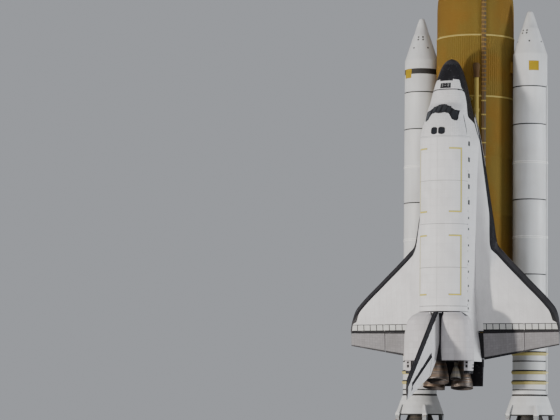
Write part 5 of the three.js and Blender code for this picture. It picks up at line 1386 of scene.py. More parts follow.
for side, sign in SIDES:
    joint = near_any(door_stations, PANEL_JOINTS, 0.7)
    at_end = (door_stations < DOOR_START + 0.4) | (door_stations > DOOR_END - 0.4)
    sunk = np.where(joint, 0.7, np.where(at_end, 0.35, 0.0))[:, None]
    outer = door_surface(door_stations[:, None], outer_turns, sunk, sign)
    inner = door_surface(door_stations[:, None], outer_turns[::-1], DOOR_WALL, sign)
    x0, turn = middles(door_stations)[:, None], middles(outer_turns)[None, :]
    paint = np.zeros((len(door_stations) - 1, len(outer_turns) - 1), int)
    paint[np.broadcast_to(near_any(x0, PANEL_JOINTS, 0.7), paint.shape)] = 4
    for start, end in MARKS:
        ticks = (start + MARK_WIDTH / 2, end - MARK_WIDTH / 2)
        for kind, edge in ((2, 0.6), (1, 0.0)):
            tick = near_any(x0, ticks, MARK_WIDTH / 2 + edge * 4 / 3)
            tick = tick & (turn > mark_inner - edge) & (turn < mark_far + edge)
            upright = (x0 > start - edge * 4 / 3) & (x0 < end + edge * 4 / 3)
            upright = upright & (turn > mark_near - edge) & (turn < mark_far + edge)
            paint[tick | upright] = kind
    rim = np.zeros((len(door_stations) - 1, 1), int)
    lining = np.full_like(paint, 3)
    lining[:, :4] = 0
    lining[:, -4:] = 0
    knuckles = [
        bar(*[(x0 + step, sign * (BODY_HALF + 0.6), SILL) for step in (-4, 4)],
            0.55, 10, 4, orbiter_point)
        for x0 in np.linspace(DOOR_START + 28, DOOR_END - 28, 13)
    ]
    skins = np.concatenate([outer, inner], axis=1)
    leaf = sheet(skins, wrap=True, finish=np.column_stack([paint, rim, lining, rim]))
    ends = [sheet(np.stack([outer[i], inner[i, ::-1]])) for i in (0, -1)]
    dress(f"bay_door_panels_{side}", [leaf, *ends, *knuckles],
          [BLANKET, YELLOW_MARK, MARK_EDGE, RADIATOR, DARK_GAP],
          f"bay_door_{side}", [f"bay_door_{side}"])

# Main engines: three on gimbals, each with a round heat shield over its pumps and a bell of brazed
# tubes held by hoops. The bell is hollow and its inside is dark.
MAIN_ENGINES = [
    # name, pivot x0, y0, z0, tilt towards the back, tilt outboard
    ("upper", 1445, 0, 443, 16, 0),
    ("port", 1468, -53, 342.6, 10, -3.5),
    ("starboard", 1468, 53, 342.6, 10, 3.5),
]
ENGINE_BALL, ENGINE_SHIELD, SHIELD_WALL, BELL_WALL = 9.0, 50.0, 2.0, 2.5
BELL = [(62, 21), (82, 28.5), (106, 36.5), (140, 44.5), (157, 46.3)]  # below the pivot, radius
BELL_TOP, BELL_LIP = 62, 157


def engine_place(x0, y0, z0, pitch, yaw):
    """Points of an engine from its own x, y and distance below its pivot: turned about the sideways
    axis by the pitch and about the other by the yaw, then moved to the pivot."""
    turn = Matrix.Rotation(-radians(pitch), 3, "X") @ Matrix.Rotation(-radians(yaw), 3, "Y")
    turn = np.array(turn)

    def place(x, y, below):
        own = np.stack(np.broadcast_arrays(x, y, -np.asarray(below, float)), -1) @ turn.T
        station = x0 + ORBITER_TO_TANK - own[..., 2]
        return stack_point(own[..., 0] + y0, own[..., 1] + ORBITER_DATUM - z0, station)

    return place


BELL_METAL = nozzle_finish("bell_metal", (0.17, 0.15, 0.14), (0.24, 0.17, 0.12), 0.38, 0.85)
BELL_INSIDE = nozzle_finish("bell_inside", (0.05, 0.045, 0.045), (0.08, 0.06, 0.05), 0.6, 0.5)
HEAT_SHIELD = mottled(
    "engine_heat_shield", (0.19, 0.185, 0.18), 0.7, 3.0, (0.09, 0.085, 0.08), (0.30, 0.29, 0.28), 6.0,
)
HEAT_SHIELD.bump(HEAT_SHIELD.noise(12.0, 4.0), 0.012)
shield_turn = np.radians(np.linspace(62, 21, 20))
bell_below = np.linspace(BELL_TOP, BELL_LIP, 40)
bell_radius = between(np.array(BELL, float), bell_below)[:, 0]
hoop_places = np.array([70, 84, 97, 109, 120, 130, 139, 148, 155])
hoops = np.exp(-(((bell_below[:, None] - hoop_places) / 1.1) ** 2)).sum(1)
engine_rows = [
    # radius, distance below the pivot, finish: the ball, the head and the neck
    (0.1, -ENGINE_BALL, 0), (6.4, -6.4, 0), (ENGINE_BALL, 0, 0),
    (15, 8, 0), (15, 26, 0), (11, 38, 2),
]
for radius, turns in ((ENGINE_SHIELD - SHIELD_WALL, shield_turn[::-1][1:]), (ENGINE_SHIELD, shield_turn)):
    engine_rows += [(radius * sin(a), radius * cos(a), 2) for a in turns]
engine_rows[-1] = (engine_rows[-1][0], engine_rows[-1][1], 0)
engine_rows += [(r + 0.9 * h, b, 0) for r, b, h in zip(bell_radius, bell_below, hoops)]
engine_rows[-1] = (bell_radius[-1], BELL_LIP, 1)
engine_rows += [(r - BELL_WALL, b, 1) for r, b in zip(bell_radius[::-1], bell_below[::-1])]
engine_rows += [(15, 52, 1), (0.1, 46, 1)]
for name, x0, y0, z0, pitch, yaw in MAIN_ENGINES:
    place = engine_place(x0, y0, z0, pitch, yaw)
    grid, finish = banded(engine_rows, 96, place)
    ducts = []
    for turn in (40, 130, 220, 310):
        swing = radians(turn)
        path = [(13 * sin(swing), -13 * cos(swing), below) for below in (10, 16, 24, 30)]
        ducts.append(tube(path, [2.2, 3.4, 3.4, 2.4], 14, place=place))
    engine_finishes = [BELL_METAL, BELL_INSIDE, HEAT_SHIELD]
    dress(f"gimballed_engine_{name}", [closed(grid, finish), *ducts], engine_finishes,
          f"main_engine_{name}", [f"main_engine_{name}"])

# Aft fuselage: blanket-covered sides, black belly and a black-tiled base with three round wells for the
# engines. A ledge below carries the body flap's hinge, and a black fairing closes each side; its black is
# partly painted shade, standing in for the shadow on the aft body's lower sides.
FLAP_X0, FLAP_Z0, FLAP_HALF, FLAP_RADIUS, FLAP_CHORD = 1532.0, 287.0, 124.0, 8.0, 81.0
ENGINE_WELL = 49.0
COVE_GAP = 0.65  # between a round hinge and the hollow it turns in


def aft_finish(x0, turn):
    """Blanket above, black belly and base. Black strips run where the doors end and beside the fin's
    foot. Down the crown between the fin and the pods the black is painted shade, the shadow along the
    fin's root."""
    number = np.where((turn > 119) | (x0 > BODY_END - 0.2), TILE_BLACK, TILE_WHITE)
    past = x0 - BAY_END
    corner = (np.abs(past - (turn - 50) * 1.2) < 6) & (turn > 50) & (turn < 78)
    bar_by_fin = (past < 17) & (turn > 12) & (turn < 16)
    # painted shade: black down the crown between the fin and the pods, where the fin's root throws its
    # shadow
    fin_root_shade = (past > 8) & (turn < 14)
    strips = ((past < 4.2) & (turn < 58)) | corner | bar_by_fin | fin_root_shade
    number = np.where(strips, TILE_BLACK, number)
    return np.where((past < 1.6) & (turn < 92), GAP, number).astype(int)


AFT_FINISHES = [BLANKET, BLACK_TILE, GREY_TILE, DARK_GAP, HEAT_SHIELD]
aft_stations = np.concatenate([
    [BAY_END, BAY_END + 1.5], np.arange(BAY_END + 3, 1340, 1.5),
    np.linspace(1342, BODY_END - 0.4, 45), [BODY_END - 0.3, BODY_END],
])
aft_turns = body_turns(88, 12, 6, 12)
aft = body_sheet("aft_fuselage_skin", aft_stations, aft_turns, aft_finish, AFT_FINISHES)
wells = []
for name, x0, y0, z0, pitch, yaw in MAIN_ENGINES:
    well = [
        # radius, distance below the pivot
        (0.1, -ENGINE_BALL - SEAT), (ENGINE_WELL, -ENGINE_BALL - SEAT), (ENGINE_WELL, 34),
        (37, 60), (46, 76), (58, 98), (58, 160),
    ]
    wells.append(cutter(turned(well, 64, place=engine_place(x0, y0, z0, pitch, yaw)), HEAT_SHIELD))
cut(aft, *wells)
ledge_low = (BODY_END - 12, -FLAP_HALF - 2, FLAP_Z0 - FLAP_RADIUS + 0.5)
ledge_high = (FLAP_X0, FLAP_HALF + 2, FLAP_Z0 + FLAP_RADIUS)
ledge = assemble("body_flap_ledge", [crate(ledge_low, ledge_high, 0.3, 0, orbiter_point)], [BLACK_TILE])
cove_x, cove_z = side_ring(FLAP_X0, FLAP_Z0, FLAP_RADIUS + COVE_GAP)
cove = np.array([orbiter_point(cove_x, np.full(48, y), cove_z) for y in (-FLAP_HALF, FLAP_HALF)])
cut(ledge, cutter(cove, BLACK_TILE))
belongs(ledge, "stack", [])
# The black fairing blocks are partly painted shade: dark blocks where the aft body's lower sides lie in
# shadow.
fairing_blocks_and_painted_shade = [
    crate((1389, sign * 99, 279), (BODY_END - 14, sign * 129.8, 295), 0.6, 0, orbiter_point)
    for sign in (-1, 1)
]
dress("side_fairings_and_painted_shade", fairing_blocks_and_painted_shade, [BLACK_TILE], "stack", [])
belongs(aft, "stack", ["aft_fuselage"])

# Body flap: one long aluminium surface under the engines, covered with black tiles. It is hinged
# on the ledge, and shields the engines from below.


def control_surface(place, along, radius, chord, top_shares=(0.04, 0.2, 0.4, 0.6, 0.8, 0.97)):
    """A round nose on its hinge and a wedge behind it. place takes distances along the hinge, aft
    of it and out of its upper face. radius and chord hold one number for each place along."""
    tail = 0.8
    along, radius, chord = (np.asarray(v, float)[:, None] for v in (along, radius, chord))
    swing = np.radians(np.linspace(90, 270, 19))[None, :]
    shares = np.array([1.0, *top_shares[::-1]])[None, :]

    def taper(share):
        return radius + (tail - radius) * share

    aft_line = np.concatenate([shares * chord, radius * np.cos(swing), shares[:, ::-1] * chord], axis=1)
    out_line = np.concatenate([taper(shares), radius * np.sin(swing), -taper(shares[:, ::-1])], axis=1)
    return place(along, aft_line, out_line)


flap_along = np.linspace(SEAT, 2 * FLAP_HALF - SEAT, 32)
flap_grid = control_surface(
    lambda along, aft_by, out: orbiter_point(FLAP_X0 + aft_by, along - FLAP_HALF, FLAP_Z0 + out),
    flap_along, np.full(32, FLAP_RADIUS), np.full(32, FLAP_CHORD))
dress("body_flap_tiles", [closed(flap_grid)], [BLACK_TILE], "body_flap", ["body_flap"])

# Engine pods: graphite shells under white blanket on the tail's shoulders, each with a square
# housing of small thrusters beside it.
POD_ROWS = np.array([
    # x0, centre y0, z0, half width, half height
    [BAY_END + 4, 56, 452, 40, 44], [1330, 69, 462, 53, 56], [1352, 76, 467, 60, 60],
    [1414, 81, 472, 65, 61], [BODY_END, 83, 474, 67, 55],
])
STINGER_INNER, STINGER_OUTER, STINGER_LOW, STINGER_HIGH, STINGER_END = 118.0, 149.0, 450.0, 492.0, 1564.0
# The pods' blanket is drawn darker and pinker than the body's: painted shade and lamp tint, which set the
# pods apart from the body.
POD_BLANKET = tile_finish(
    "pod_blanket", (0.52, 0.50, 0.515), 0.06, 24, 0.75, worn=(0.40, 0.365, 0.365), gap=0.72,
)
POD_FINISHES = [POD_BLANKET, BLACK_TILE, WHITE_TILE, DARK_GAP]
pod_stations = np.concatenate([
    np.linspace(BAY_END + 4, 1345, 14), np.linspace(1350, BODY_END - 0.5, 30), [BODY_END],
])
pod_turn = np.arange(96) * 2 * pi / 96


def pod_surface(x0, sign):
    """A shell whose sections are squared ellipses: the powers of a cosine and a sine."""
    centre_y, centre_z, wide, high = curves(POD_ROWS, x0)
    y0 = sign * (centre_y + wide * squarer(np.cos(pod_turn), 1 / 1.3))
    return orbiter_point(x0, y0, centre_z + high * squarer(np.sin(pod_turn), 1 / 1.3))


def tail_core():
    """The tail's body a little smaller, to cut what stands on it."""
    stations = np.linspace(BAY_END - 6, BODY_END + 3, 40)[:, None]
    return cutter(body_point(stations, body_turns(40, 8, 4, 4), grow=-1), BLANKET)


for side, sign in SIDES:
    numbers = np.zeros((len(pod_stations) - 1, 96), int)
    numbers[:6, :4] = 1  # a black patch at the outboard front end, and a black rear face
    numbers[:6, -4:] = 1
    numbers[-1] = 1
    shell = closed(pod_surface(pod_stations[:, None], sign), numbers)
    pod = assemble(f"pod_shell_{side}", [shell], POD_FINISHES)
    cut(pod, tail_core())
    belongs(pod, "stack", [f"engine_pod_{side}"])
    levels = [
        # x0, drawn in by, finish below
        (BODY_END - 20, 0.0, 0), (BODY_END + 30, 2.6, 0), (1551.5, 3.5, 0), (1552, 3.5, 1),
        (STINGER_END - 1.5, 4.0, 1), (STINGER_END, 5.2, 1),
    ]
    rings = []
    for x0, draw, _ in levels:
        out, inset = STINGER_OUTER - draw, 0.6 if x0 == STINGER_END else 0.0
        near, low, high = STINGER_INNER + inset, STINGER_LOW + inset, STINGER_HIGH - inset
        y0 = np.array([near, out - inset - 1, out - inset, out - inset, out - 3, out - 12, near])
        z0 = np.array([low, low + 4, low + 7, high - 13, high - 7.5, high, high])
        rings.append(orbiter_point(np.full(7, float(x0)), sign * y0, z0))
    numbers = np.repeat(np.array([row[2] for row in levels[:-1]])[:, None], 7, axis=1)
    thrusters = []
    for x0, z0 in ((1528, 473), (1541, 473), (1528, 462), (1541, 462)):
        mouth = [(x0, sign * (STINGER_OUTER - inward), z0) for inward in (8, 1.4)]
        thrusters.append(bar(*mouth, 3.4, 20, 3, orbiter_point))
    for front, rear in ((1514, 1523), (1527, 1540)):
        low = (front, sign * 124.5, STINGER_HIGH - 6)
        high = (rear, sign * 134.7, STINGER_HIGH + 0.3)
        thrusters.append(crate(low, high, 0.8, 3, orbiter_point))
    stinger = closed(np.array(rings), numbers)
    stinger = assemble(f"thruster_housing_{side}", [stinger, *thrusters], POD_FINISHES)
    belongs(stinger, "stack", [])

# Pod engines: one small bell of niobium behind each pod. It is a thin bare shell, and turns on a
# ball at its head.
POD_ENGINE_X0, POD_ENGINE_Y0, POD_ENGINE_Z0, POD_PITCH, POD_YAW = 1519.02, 82.0, 484.0, 15.8, 3.0
POD_BALL = 8.0 - SEAT
POD_BELL_METAL = nozzle_finish("pod_bell_metal", (0.13, 0.125, 0.12), (0.2, 0.17, 0.12), 0.45, 0.8)
small_below = np.linspace(10, 70, 26)
small_radius = between([(10, 7), (28, 13), (50, 19), (70, 22)], small_below)[:, 0]
ball_turn = np.radians([1, 10, 20, 32, 45, 60, 75, 90])
small_rows = [(POD_BALL * sin(a), -POD_BALL * cos(a), 0) for a in ball_turn]
small_rows += [(r, b, 0) for r, b in zip(small_radius, small_below)]
small_rows[-1] = (22, 70, 1)
small_rows += [(r - 1, b, 1) for r, b in zip(small_radius[::-1], small_below[::-1]) if b > 16]
small_rows += [(0.1, 14, 1)]
for side, sign in SIDES:
    pivot = POD_ENGINE_X0, sign * POD_ENGINE_Y0, POD_ENGINE_Z0
    place = engine_place(*pivot, POD_PITCH, sign * POD_YAW)
    grid, finish = banded(small_rows, 64, place)
    dress(f"small_bell_{side}", [closed(grid, finish)], [POD_BELL_METAL, BELL_INSIDE],
          f"pod_engine_{side}", [f"pod_engine_{side}"])

# Fin: a swept, tiled box with black tiles on its leading edge. Its rear half is a split rudder on
# a round black post, whose two halves also open as a speed brake.
FIN_ROOT, FIN_HEIGHT, FIN_LEADING, ROOT_CHORD, TIP_CHORD = 500.0, 315.72, 1277.9, 268.5, 84.0
RUDDER_START, RUDDER_END, RUDDER_ROOM, HINGE_SHARE = 94.0, 326.0, 2.7, 0.6
PAST_EDGE = 220  # aft of every point of the rudder
TIP_ROUNDING = 9.0
FIN_SIDE = np.array([
    # share of the chord, share of the half thickness
    [0, 0.0], [0.006, 0.13], [0.04, 0.36], [0.15, 0.68], [0.35, 0.93], [HINGE_SHARE, 1.0], [0.8, 0.55],
])
hinge_base = np.array([FIN_LEADING + HINGE_SHARE * ROOT_CHORD, FIN_ROOT])
hinge_head = np.array([FIN_LEADING + FIN_HEIGHT + HINGE_SHARE * TIP_CHORD, FIN_ROOT + FIN_HEIGHT])
hinge_way = (hinge_head - hinge_base) / np.linalg.norm(hinge_head - hinge_base)


def fin_chord(z0):
    """The chord shrinks evenly from root to tip."""
    return ROOT_CHORD + (TIP_CHORD - ROOT_CHORD) * (z0 - FIN_ROOT) / FIN_HEIGHT


def fin_half(z0):
    """Half of the fin's greatest thickness."""
    root, tip = 13.4, 6.2
    return root - (root - tip) * (z0 - FIN_ROOT) / FIN_HEIGHT


def post_radius(along):
    """The rudder's post fills the fin's thickness."""
    return fin_half(FIN_ROOT + along * hinge_way[1]) - 0.6


def rudder_foot(start, aft_by):
    """A point of the rudder's lower end, which runs along the chord."""
    return start + (aft_by - post_radius(start)) * hinge_way[0] / hinge_way[1], aft_by


def rudder_place(along, aft_by, side_by):
    """Points from the distance along the rudder's hinge, aft of it and to starboard."""
    x0 = hinge_base[0] + hinge_way[0] * along + hinge_way[1] * aft_by
    return orbiter_point(x0, side_by, hinge_base[1] + hinge_way[1] * along - hinge_way[0] * aft_by)


def fin_solid(name, finish, finishes):
    """The whole fin as one closed skin: wedge-nosed sections that shrink towards the tip."""
    head = FIN_ROOT + FIN_HEIGHT
    rounding = head - TIP_ROUNDING * (1 - np.linspace(0, 1, 6)[1:] ** 2)
    z0 = np.concatenate([[FIN_ROOT - 14], np.linspace(FIN_ROOT, head - TIP_ROUNDING, 90), rounding])
    z0 = np.unique(z0)[:, None]
    share = (np.linspace(0, 1, 64) ** 1.3)[None, :]
    chord = fin_chord(z0)
    over = np.clip((z0 - (head - TIP_ROUNDING)) / TIP_ROUNDING, 0, 1)
    shift = TIP_ROUNDING * over**2 * (1 - share)
    x0 = FIN_LEADING + (z0 - FIN_ROOT) + share * chord + shift
    half = fin_half(z0)
    rear = np.clip((share - HINGE_SHARE) / (1 - HINGE_SHARE), 0, 1)
    ahead = between(FIN_SIDE, share[0])[None, :, 0] * half
    thick = np.where(share < HINGE_SHARE, ahead, half + (0.9 - half) * rear)
    thick = thick * (1 - 0.5 * over**3)
    y0 = np.concatenate([thick, -thick[:, ::-1]], axis=1)
    x0 = np.concatenate([x0, x0[:, ::-1]], axis=1)
    grid = orbiter_point(x0, y0, z0)
    from_edge = (x0[:, :-1] + x0[:, 1:]) / 2 - (FIN_LEADING + z0 - FIN_ROOT)
    from_edge = np.column_stack([from_edge, from_edge[:, 0]])
    return assemble(name, [closed(grid, finish(from_edge[:-1], z0[:-1]))], finishes)


def fin_finish(from_edge, z0):
    """White, with black tiles along the leading edge, round the tip and ahead of the rudder."""
    ahead = (HINGE_SHARE * fin_chord(z0) - from_edge) * hinge_way[1]
    along = (z0 - FIN_ROOT) / hinge_way[1]
    seal = (ahead > -20) & (ahead < 10) & (along > RUDDER_START - 3) & (along < RUDDER_END + 3)
    tip = z0 > FIN_ROOT + FIN_HEIGHT - 4
    return np.where((from_edge < 34) | tip | seal, TILE_BLACK, TILE_WHITE).astype(int)


def rudder_finish(from_edge, z0):
    """White all over."""
    return np.full(np.broadcast_shapes(from_edge.shape, z0.shape), TILE_WHITE)


def slab(corners, low, high, finish, place):
    """A closed prism: an outline of two coordinates between two values of the third."""
    first, second = np.array(corners, float).T
    ends = [place(first, second, np.full(len(corners), value)) for value in (low, high)]
    return cutter(np.array(ends), finish)


def fin_slab(corners, low, high):
    """A slab across the fin from its outline seen from the side."""
    return slab(corners, low, high, BLACK_TILE, lambda x0, z0, y0: orbiter_point(x0, y0, z0))


FIN_FINISHES = [WHITE_TILE, BLACK_TILE]
fin = fin_solid("fin_tiles", fin_finish, FIN_FINISHES)
fin_notch = [
    (BODY_END - 6, 470), (BODY_END - 6, 513), (1530, 532), (1556, 553), (1640, 610), (1640, 470),
]
fin_front = [(FIN_LEADING - 60, 470), (BAY_END + 5, 470), (BAY_END + 5, 560), (FIN_LEADING - 60, 560)]
opening = [
    (RUDDER_START, 0), (RUDDER_END, 0), (RUDDER_END, PAST_EDGE),
    rudder_foot(RUDDER_START, PAST_EDGE), (RUDDER_START, post_radius(RUDDER_START)),
]
post_ends = np.array([RUDDER_START, RUDDER_END])
post_line = np.column_stack([post_ends, post_ends * 0, post_ends * 0])
post_room = tube(post_line, post_radius(post_ends) + COVE_GAP, 48, place=rudder_place)
cut(
    fin, tail_core(), fin_slab(fin_notch, -30, 30), fin_slab(fin_front, -30, 30),
    slab(opening, -40, 40, BLACK_TILE, rudder_place), assemble("cutter", [post_room], [BLACK_TILE]),
)
belongs(fin, "stack", ["vertical_fin"])

start, end = RUDDER_START + SEAT, RUDDER_END - SEAT
post_along = np.linspace(start, end, 12)
post = tube([(along, 0, 0) for along in post_along], post_radius(post_along), 40, place=rudder_place)
dress("rudder_post_seal", [post], [BLACK_TILE], "rudder_post", ["rudder_post"])

for side, sign in SIDES:
    start, end = RUDDER_START + 0.5, RUDDER_END - 0.5
    wedge = [
        (start + RUDDER_ROOM, post_radius(start) + SEAT), (end, post_radius(end) + SEAT),
        (end, PAST_EDGE), rudder_foot(start + RUDDER_ROOM, PAST_EDGE),
    ]
    half = fin_solid(f"rudder_half_{side}", rudder_finish, FIN_FINISHES)
    cut(half, slab(wedge, sign * 0.25, sign * 40, BLACK_TILE, rudder_place), operation="INTERSECT")
    belongs(half, f"rudder_panel_{side}", [f"rudder_panel_{side}"])

# Wings: aluminium boxes under white blanket above and black tiles below. The glove runs far forward
# along the body. A hollow along the rear takes the elevons' round noses.
HINGE_STATION, DIHEDRAL, TIP = 1387.0, radians(3.5), 468.34
ELEVON_START, ELEVON_SPLIT, RIB = 131.0, 313.0, 2.0
SEAL_STRIP = 32.0  # along the rear of the upper skin
EDGE_BACK, EDGE_IN, EDGE_START = 16.0, 7.0, 181.0
DOOR_FRONT, DOOR_REAR, DOOR_INNER, DOOR_OUTER = 1045.0, 1190.0, 111.524, 172.0  # main wheel door
WELL_ROOF = 312.0
WING_ROWS = np.array([
    # y0, leading edge x0, greatest thickness, its share of the chord, share where the nose ends
    [84, 462, 60, 0.8, 0.012], [105, 545, 60, 0.78, 0.012], [168, 908.6, 56.2, 0.53, 0.041],
    [188, 1020, 55, 0.45, 0.05], [212, 1048, 52, 0.44, 0.052], [330, 1166, 37, 0.38, 0.06],
    [430, 1266, 22, 0.36, 0.07], [450, 1292, 18.5, 0.4, 0.08], [462, 1325, 15, 0.4, 0.1],
    [TIP, 1362, 11, 0.5, 0.2],
])


def hinge_height(y0):
    """The elevons' hinge line, which rises outboard by the dihedral."""
    return 287 + (y0 - 105) * tan(DIHEDRAL)


def hinge_radius(y0):
    """The elevons' round noses shrink evenly from root to tip."""
    root, tip = 13, 5
    outboard = np.maximum(y0, ELEVON_START) - ELEVON_START
    return root - outboard * (root - tip) / (TIP - ELEVON_START)


def cove_lip(y0):
    """How far ahead of the hinge the skins end where they meet the round hollow."""
    return np.sqrt((hinge_radius(y0) + COVE_GAP) ** 2 - hinge_radius(y0) ** 2)


def wing_heights(y0, x0):
    """Heights of the wing's lower and upper skins. The thickness swells as a power of a sine up to
    the crest and falls away behind it. The lower skin lifts a little at the nose."""
    leading, thickness, crest, nose = curves(WING_ROWS, y0)
    radius = hinge_radius(y0)
    f = np.clip((x0 - leading) / (HINGE_STATION - leading), 0, 1)

    def swell(f):
        front = thickness * np.sin(np.minimum(f / crest, 1) * pi / 2) ** 0.75
        back = np.clip((f - crest) / (1 - crest), 0, 1) ** 1.4
        return np.where(f < crest, front, thickness + (2 * radius - thickness) * back)

    belly = between(BODY_ROWS[:, [0, 2]], np.maximum(x0, 500))[..., 0]
    base = hinge_height(y0) - radius + (belly - 271) * 0.8
    lower = base + 0.35 * swell(nose) * np.maximum(0, 1 - f / nose)
    return lower, np.maximum(lower + 1, base + swell(f))


def section_loop(y0, x0, rear, hollow, steps):
    """A section's x0 and z0: the upper skin forward, the lower skin aft, then the rear face. That
    is straight, or where hollow holds an arc round the elevon's hinge."""
    radius = hinge_radius(y0)
    room = radius + COVE_GAP
    lower, upper = wing_heights(y0, x0)
    share = np.linspace(0, 1, steps)[None, 1:-1]
    bend = np.arcsin(radius / room) * (2 * share - 1)
    face_x = np.where(hollow, HINGE_STATION - room * np.cos(bend), rear)
    flat_z = lower[:, -1:] + (upper[:, -1:] - lower[:, -1:]) * share
    face_z = np.where(hollow, hinge_height(y0) + room * np.sin(bend), flat_z)
    loop_x = np.concatenate([x0[:, ::-1], x0, face_x], axis=1)
    return loop_x, np.concatenate([upper[:, ::-1], lower, face_z], axis=1)


def wing_section(y0, front, shares, hollow, sign):
    """Sections across the span and the stations of their columns. shares lays the columns out
    between front and the rear: negative shares are inches ahead of the rear."""
    rear = HINGE_STATION - cove_lip(y0) * hollow
    x0 = np.where(shares >= 0, front + (rear - SEAL_STRIP - front) * shares, rear + shares)
    x0 = np.maximum(x0, front + 0.01 * np.arange(x0.shape[1]))
    x0 = np.minimum(x0, rear)
    loop_x, loop_z = section_loop(y0, x0, HINGE_STATION, hollow, 15)
    return orbiter_point(loop_x, sign * y0, loop_z), x0


def leading_edge(y0):
    """The leading edge's station."""
    return between(WING_ROWS, y0)[..., 0]


def edge_rear(y0):
    """The rear line of the carbon edge: the leading edge moved aft and inboard."""
    moved = leading_edge(np.minimum(y0 + EDGE_IN, TIP)) + EDGE_BACK
    return np.where(y0 > TIP - EDGE_IN, HINGE_STATION, moved)


def band_end(y0):
    """Where the black strip behind the edge ends: the furthest aft of circles round the points of
    the leading edge, small along the glove and growing at the kink."""
    points = np.arange(84.0, TIP, 0.5)[None, :]
    reach = np.interp(points, [100, 130, 165, 195], [4, 8, 10, 27])
    inside = reach**2 - (y0 - points) ** 2
    ends = leading_edge(points) + np.sqrt(np.maximum(inside, 0))
    return np.where(inside > 0, ends, 0).max(axis=1, keepdims=True)


SLITS = np.arange(146.0, 456.0, 29.0)
SLIT_HALF = 1.9
span = merged(
    np.linspace(84, 130.9, 24), [ELEVON_START], np.linspace(133, EDGE_START - 0.05, 28), [EDGE_START],
    np.linspace(EDGE_START + 1.5, ELEVON_SPLIT - 0.1, 60), [ELEVON_SPLIT, ELEVON_SPLIT + RIB],
    np.linspace(ELEVON_SPLIT + RIB + 0.1, TIP - EDGE_IN, 50), SLITS - SLIT_HALF, SLITS + SLIT_HALF,
)
span = span[span <= TIP - EDGE_IN][:, None]
ribs = (span >= ELEVON_SPLIT) & (span <= ELEVON_SPLIT + RIB)
hollow = (span >= ELEVON_START) & ~ribs
front = np.where(span < EDGE_START, leading_edge(span), edge_rear(span) + SEAT)
band = np.maximum(band_end(span) - front, 1.0) / np.maximum(HINGE_STATION - SEAL_STRIP - front, 60)
band = np.minimum(band, 0.8)
near_shares = np.array([0, 0.004, 0.015, 0.04, 0.09, 0.18, 0.34, 0.6, 1.0]) * band
far_shares = band + (1 - band) * np.linspace(0, 1, 40)[1:] ** 1.15
strip_shares = np.broadcast_to([-29.0, -7.0, -5.0, 0.0], (len(span), 4))
shares = np.concatenate([near_shares, far_shares, strip_shares], axis=1)
RIBBED_SEAL = mottled(
    "ribbed_seal", (0.48, 0.48, 0.47), 0.55, 5.0, (0.40, 0.40, 0.39), (0.56, 0.56, 0.55),
)
WING_FINISHES = [BLANKET, BLACK_TILE, RIBBED_SEAL, DARK_GAP]
for side, sign in SIDES:
    grid, x0 = wing_section(span, front, shares, hollow, sign)
    columns = x0.shape[1]
    middle_y, middle_x = middles(span), (x0[:-1, 1:] + x0[:-1, :-1]) / 2
    upper = np.zeros(middle_x.shape, int)
    upper[:, : near_shares.shape[1] - 1] = 1
    seal = middle_y[:, 0] > ELEVON_START
    slit = near_any(middle_y[:, 0], SLITS, SLIT_HALF)
    # the strip over the hinge: a gap, the seal with its slits, a gap, a black edge
    upper[seal, -4] = 3
    upper[seal, -3] = np.where(slit[seal], 3, 2)
    upper[seal, -2] = 3
    upper[seal, -1] = 1
    numbers = np.ones((len(span) - 1, grid.shape[1]), int)
    numbers[:, : columns - 1] = upper[:, ::-1]
    wing = assemble(f"wing_skin_{side}", [closed(grid, numbers)], WING_FINISHES)
    well_low = (DOOR_FRONT - 0.5, sign * (DOOR_INNER - SEAT), 240)
    well_high = (DOOR_REAR + 0.5, sign * (DOOR_OUTER + 0.5), WELL_ROOF)
    # The main wheel well's walls take the near-black gap finish: painted shade inside the closed well.
    cut(wing, orbiter_box(well_low, well_high, DARK_GAP), solver="MANIFOLD")
    belongs(wing, "stack", [f"wing_{side}"])

# Leading edges: hollow shells of reinforced carbon in short panels, with a narrow seal between
# each two. They wrap the wing's nose from the glove to the tip.
PANELS = 22
panel_ends = np.linspace(EDGE_START, TIP - 8, PANELS + 1)
seams = [panel_ends[1:-1] + step for step in (-0.45, -0.4, 0.4, 0.45)]
edge_span = merged(
    np.linspace(EDGE_START, TIP - EDGE_IN - 0.05, 66), np.linspace(TIP - EDGE_IN + 0.05, TIP, 10), *seams,
)[:, None]
edge_shares = (np.linspace(0, 1, 30) ** 1.8)[None, :]
for side, sign in SIDES:
    front = leading_edge(edge_span)
    at_tip = edge_span > TIP - EDGE_IN
    rear = np.where(at_tip, HINGE_STATION - cove_lip(edge_span), edge_rear(edge_span))
    x0 = front + (rear - front) * edge_shares
    loop_x, loop_z = section_loop(edge_span, x0, rear, at_tip, 9)
    sunk = near_any(edge_span, panel_ends[1:-1], 0.42)
    centre_x, centre_z = loop_x.mean(1, keepdims=True), loop_z.mean(1, keepdims=True)
    shrink = np.where(sunk, 0.965, 1.0)
    loop_x = centre_x + (loop_x - centre_x) * shrink
    loop_z = centre_z + (loop_z - centre_z) * shrink
    grid = orbiter_point(loop_x, sign * edge_span, loop_z)
    dress(f"carbon_edge_{side}", [closed(grid)], [CARBON],
          "stack", [f"wing_leading_edge_{side}"])

# Elevons: two tiled surfaces on each wing, round-nosed on their hinge line. Their tops are grey
# with a black strip along the trailing edge, their undersides black.
ELEVON_GREY = tile_finish("elevon_grey", (0.22, 0.21, 0.22), 0.08, 12, 0.6, worn=(0.16, 0.15, 0.15))
HINGE_COS = cos(DIHEDRAL)
SPLIT_ALONG = (ELEVON_SPLIT - ELEVON_START) / HINGE_COS
HINGE_LENGTH = (TIP - ELEVON_START) / HINGE_COS


def elevon_place(sign):
    """Points from the distance along an elevon's hinge, aft of it and out of its upper face."""
    def place(along, aft_by, out):
        y0 = ELEVON_START + along * HINGE_COS - out * sin(DIHEDRAL)
        z0 = hinge_height(ELEVON_START) + along * sin(DIHEDRAL) + out * HINGE_COS
        return orbiter_point(HINGE_STATION + aft_by, sign * y0, z0)
    return place


